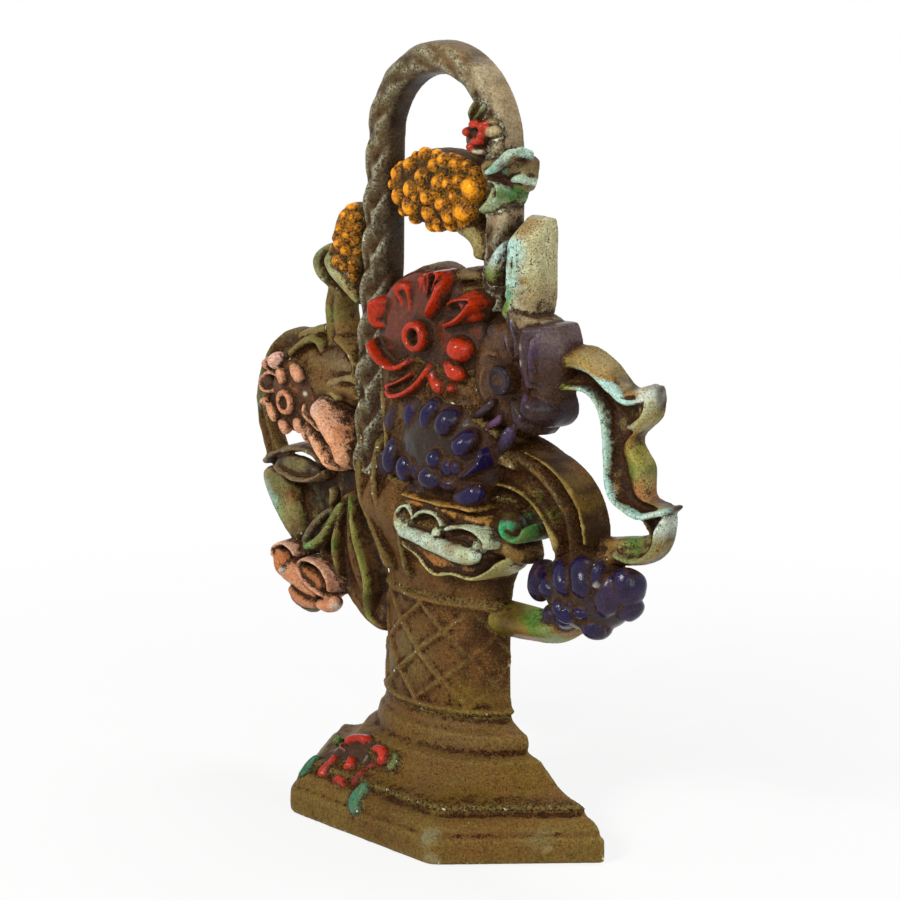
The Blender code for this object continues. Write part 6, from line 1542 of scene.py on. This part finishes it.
FLOOR_HALF = 3
PIECE_MIDDLE = (0, 0, 0.13)
CAMERA_PLACE = (0.69336, -0.61648, 0.3306)
CAMERA_LENS, CAMERA_DOWN, CAMERA_ROUND = 112.0, 12.019, 47.406


def seen_directly(tree):
    """1 for what the camera sees, also through a reflection or glass, and 0 for what lights the piece."""
    path = node(tree, "ShaderNodeLightPath").outputs
    mirrored = node(tree, "ShaderNodeMath", (path["Is Glossy Ray"], path["Is Transmission Ray"]),
                    operation="ADD")
    return node(tree, "ShaderNodeMath", (path["Is Camera Ray"], mirrored), operation="ADD", use_clamp=True)


def build_floor():
    """A pale matt floor that turns to plain white away from the piece."""
    mesh = bpy.data.meshes.new("floor")
    mesh.from_pydata([(x * FLOOR_HALF, y * FLOOR_HALF, 0) for x, y in ((-1, -1), (1, -1), (1, 1), (-1, 1))],
                     [], [(0, 1, 2, 3)])
    ground = add_object("floor", mesh)
    surface = bpy.data.materials.new("pale_floor")
    surface.use_nodes = True
    tree = surface.node_tree
    tree.nodes.clear()
    where = node(tree, "ShaderNodeTexCoord").outputs["Object"]
    away = node(tree, "ShaderNodeVectorMath", (where,), operation="LENGTH")
    plain = node(tree, "ShaderNodeMapRange", (away, 0.1, 0.45, 0.82, 1.0))
    share = node(tree, "ShaderNodeMath", (seen_directly(tree), plain), operation="MULTIPLY")
    matt = node(tree, "ShaderNodeBsdfDiffuse", {"Color": (0.9, 0.9, 0.9, 1)})
    white = node(tree, "ShaderNodeEmission", {"Color": (1, 1, 1, 1), "Strength": 1.0})
    both = node(tree, "ShaderNodeMixShader", (share, matt, white))
    node(tree, "ShaderNodeOutputMaterial", {"Surface": both})
    mesh.materials.append(surface)


def build_light():
    """Warm soft light from all round, plain white to the eye, and five lamps turned to the piece."""
    world = bpy.data.worlds.new("studio")
    bpy.context.scene.world = world
    world.use_nodes = True
    tree = world.node_tree
    tree.nodes.clear()
    soft = node(tree, "ShaderNodeBackground", {"Color": (1.0, 0.97, 0.92, 1), "Strength": 0.25})
    plain = node(tree, "ShaderNodeBackground", {"Color": (1, 1, 1, 1), "Strength": 1.0})
    choose = node(tree, "ShaderNodeMixShader", (seen_directly(tree), soft, plain))
    node(tree, "ShaderNodeOutputWorld", {"Surface": choose})
    for name, place, size, power in (
        ("key", (0.1, -1.35, 1.1), 0.42, 14.6), ("fill", (1.45, -0.25, 0.55), 0.7, 5.2),
        ("top", (0.05, 0.5, 1.5), 0.6, 7), ("glint_left", (-0.25, -1.3, 0.95), 0.06, 3.6),
        ("glint_right", (1.25, -0.95, 0.85), 0.06, 2.8),
    ):
        light = bpy.data.lights.new(name, "AREA")
        light.shape = "DISK"
        light.size = size
        light.energy = power
        lamp = add_object(name, light)
        lamp.location = place
        lamp.rotation_euler = (Vector(PIECE_MIDDLE) - lamp.location).to_track_quat("-Z", "Y").to_euler()


def build_camera():
    """The photograph's camera, as fitted to the base's corners and edges."""
    lens = bpy.data.cameras.new("camera")
    lens.lens = CAMERA_LENS
    lens.sensor_width = 36.0
    lens.clip_start = 0.01
    camera = add_object("camera", lens)
    camera.location = CAMERA_PLACE
    camera.rotation_euler = (math.radians(90 - CAMERA_DOWN), 0, math.radians(CAMERA_ROUND))
    bpy.context.scene.camera = camera


for build in (build_camera, build_floor, build_light, build_base, build_base_flower, build_waist,
              build_flare, build_handle, build_core, build_berries, build_red_poppy, build_blue_flowers,
              build_purple_flower, build_upright_leaf, build_right_ribbon, build_sheath, build_stalk,
              build_trumpet, build_handle_leaves, build_left_side, build_left_loop):
    build()

step_backs()
for piece in PIECES:
    cast_surface(piece)
blend_seams()
find_closed()
for piece in PIECES:
    mark_wear_and_shade(piece)
    piece.object.data.materials.clear()
    piece.object.data.materials.append(FINISHES[piece.finish])
    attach(piece.object, "root")
    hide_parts(*piece.nodes)

bpy.context.scene.view_settings.view_transform = "Standard"
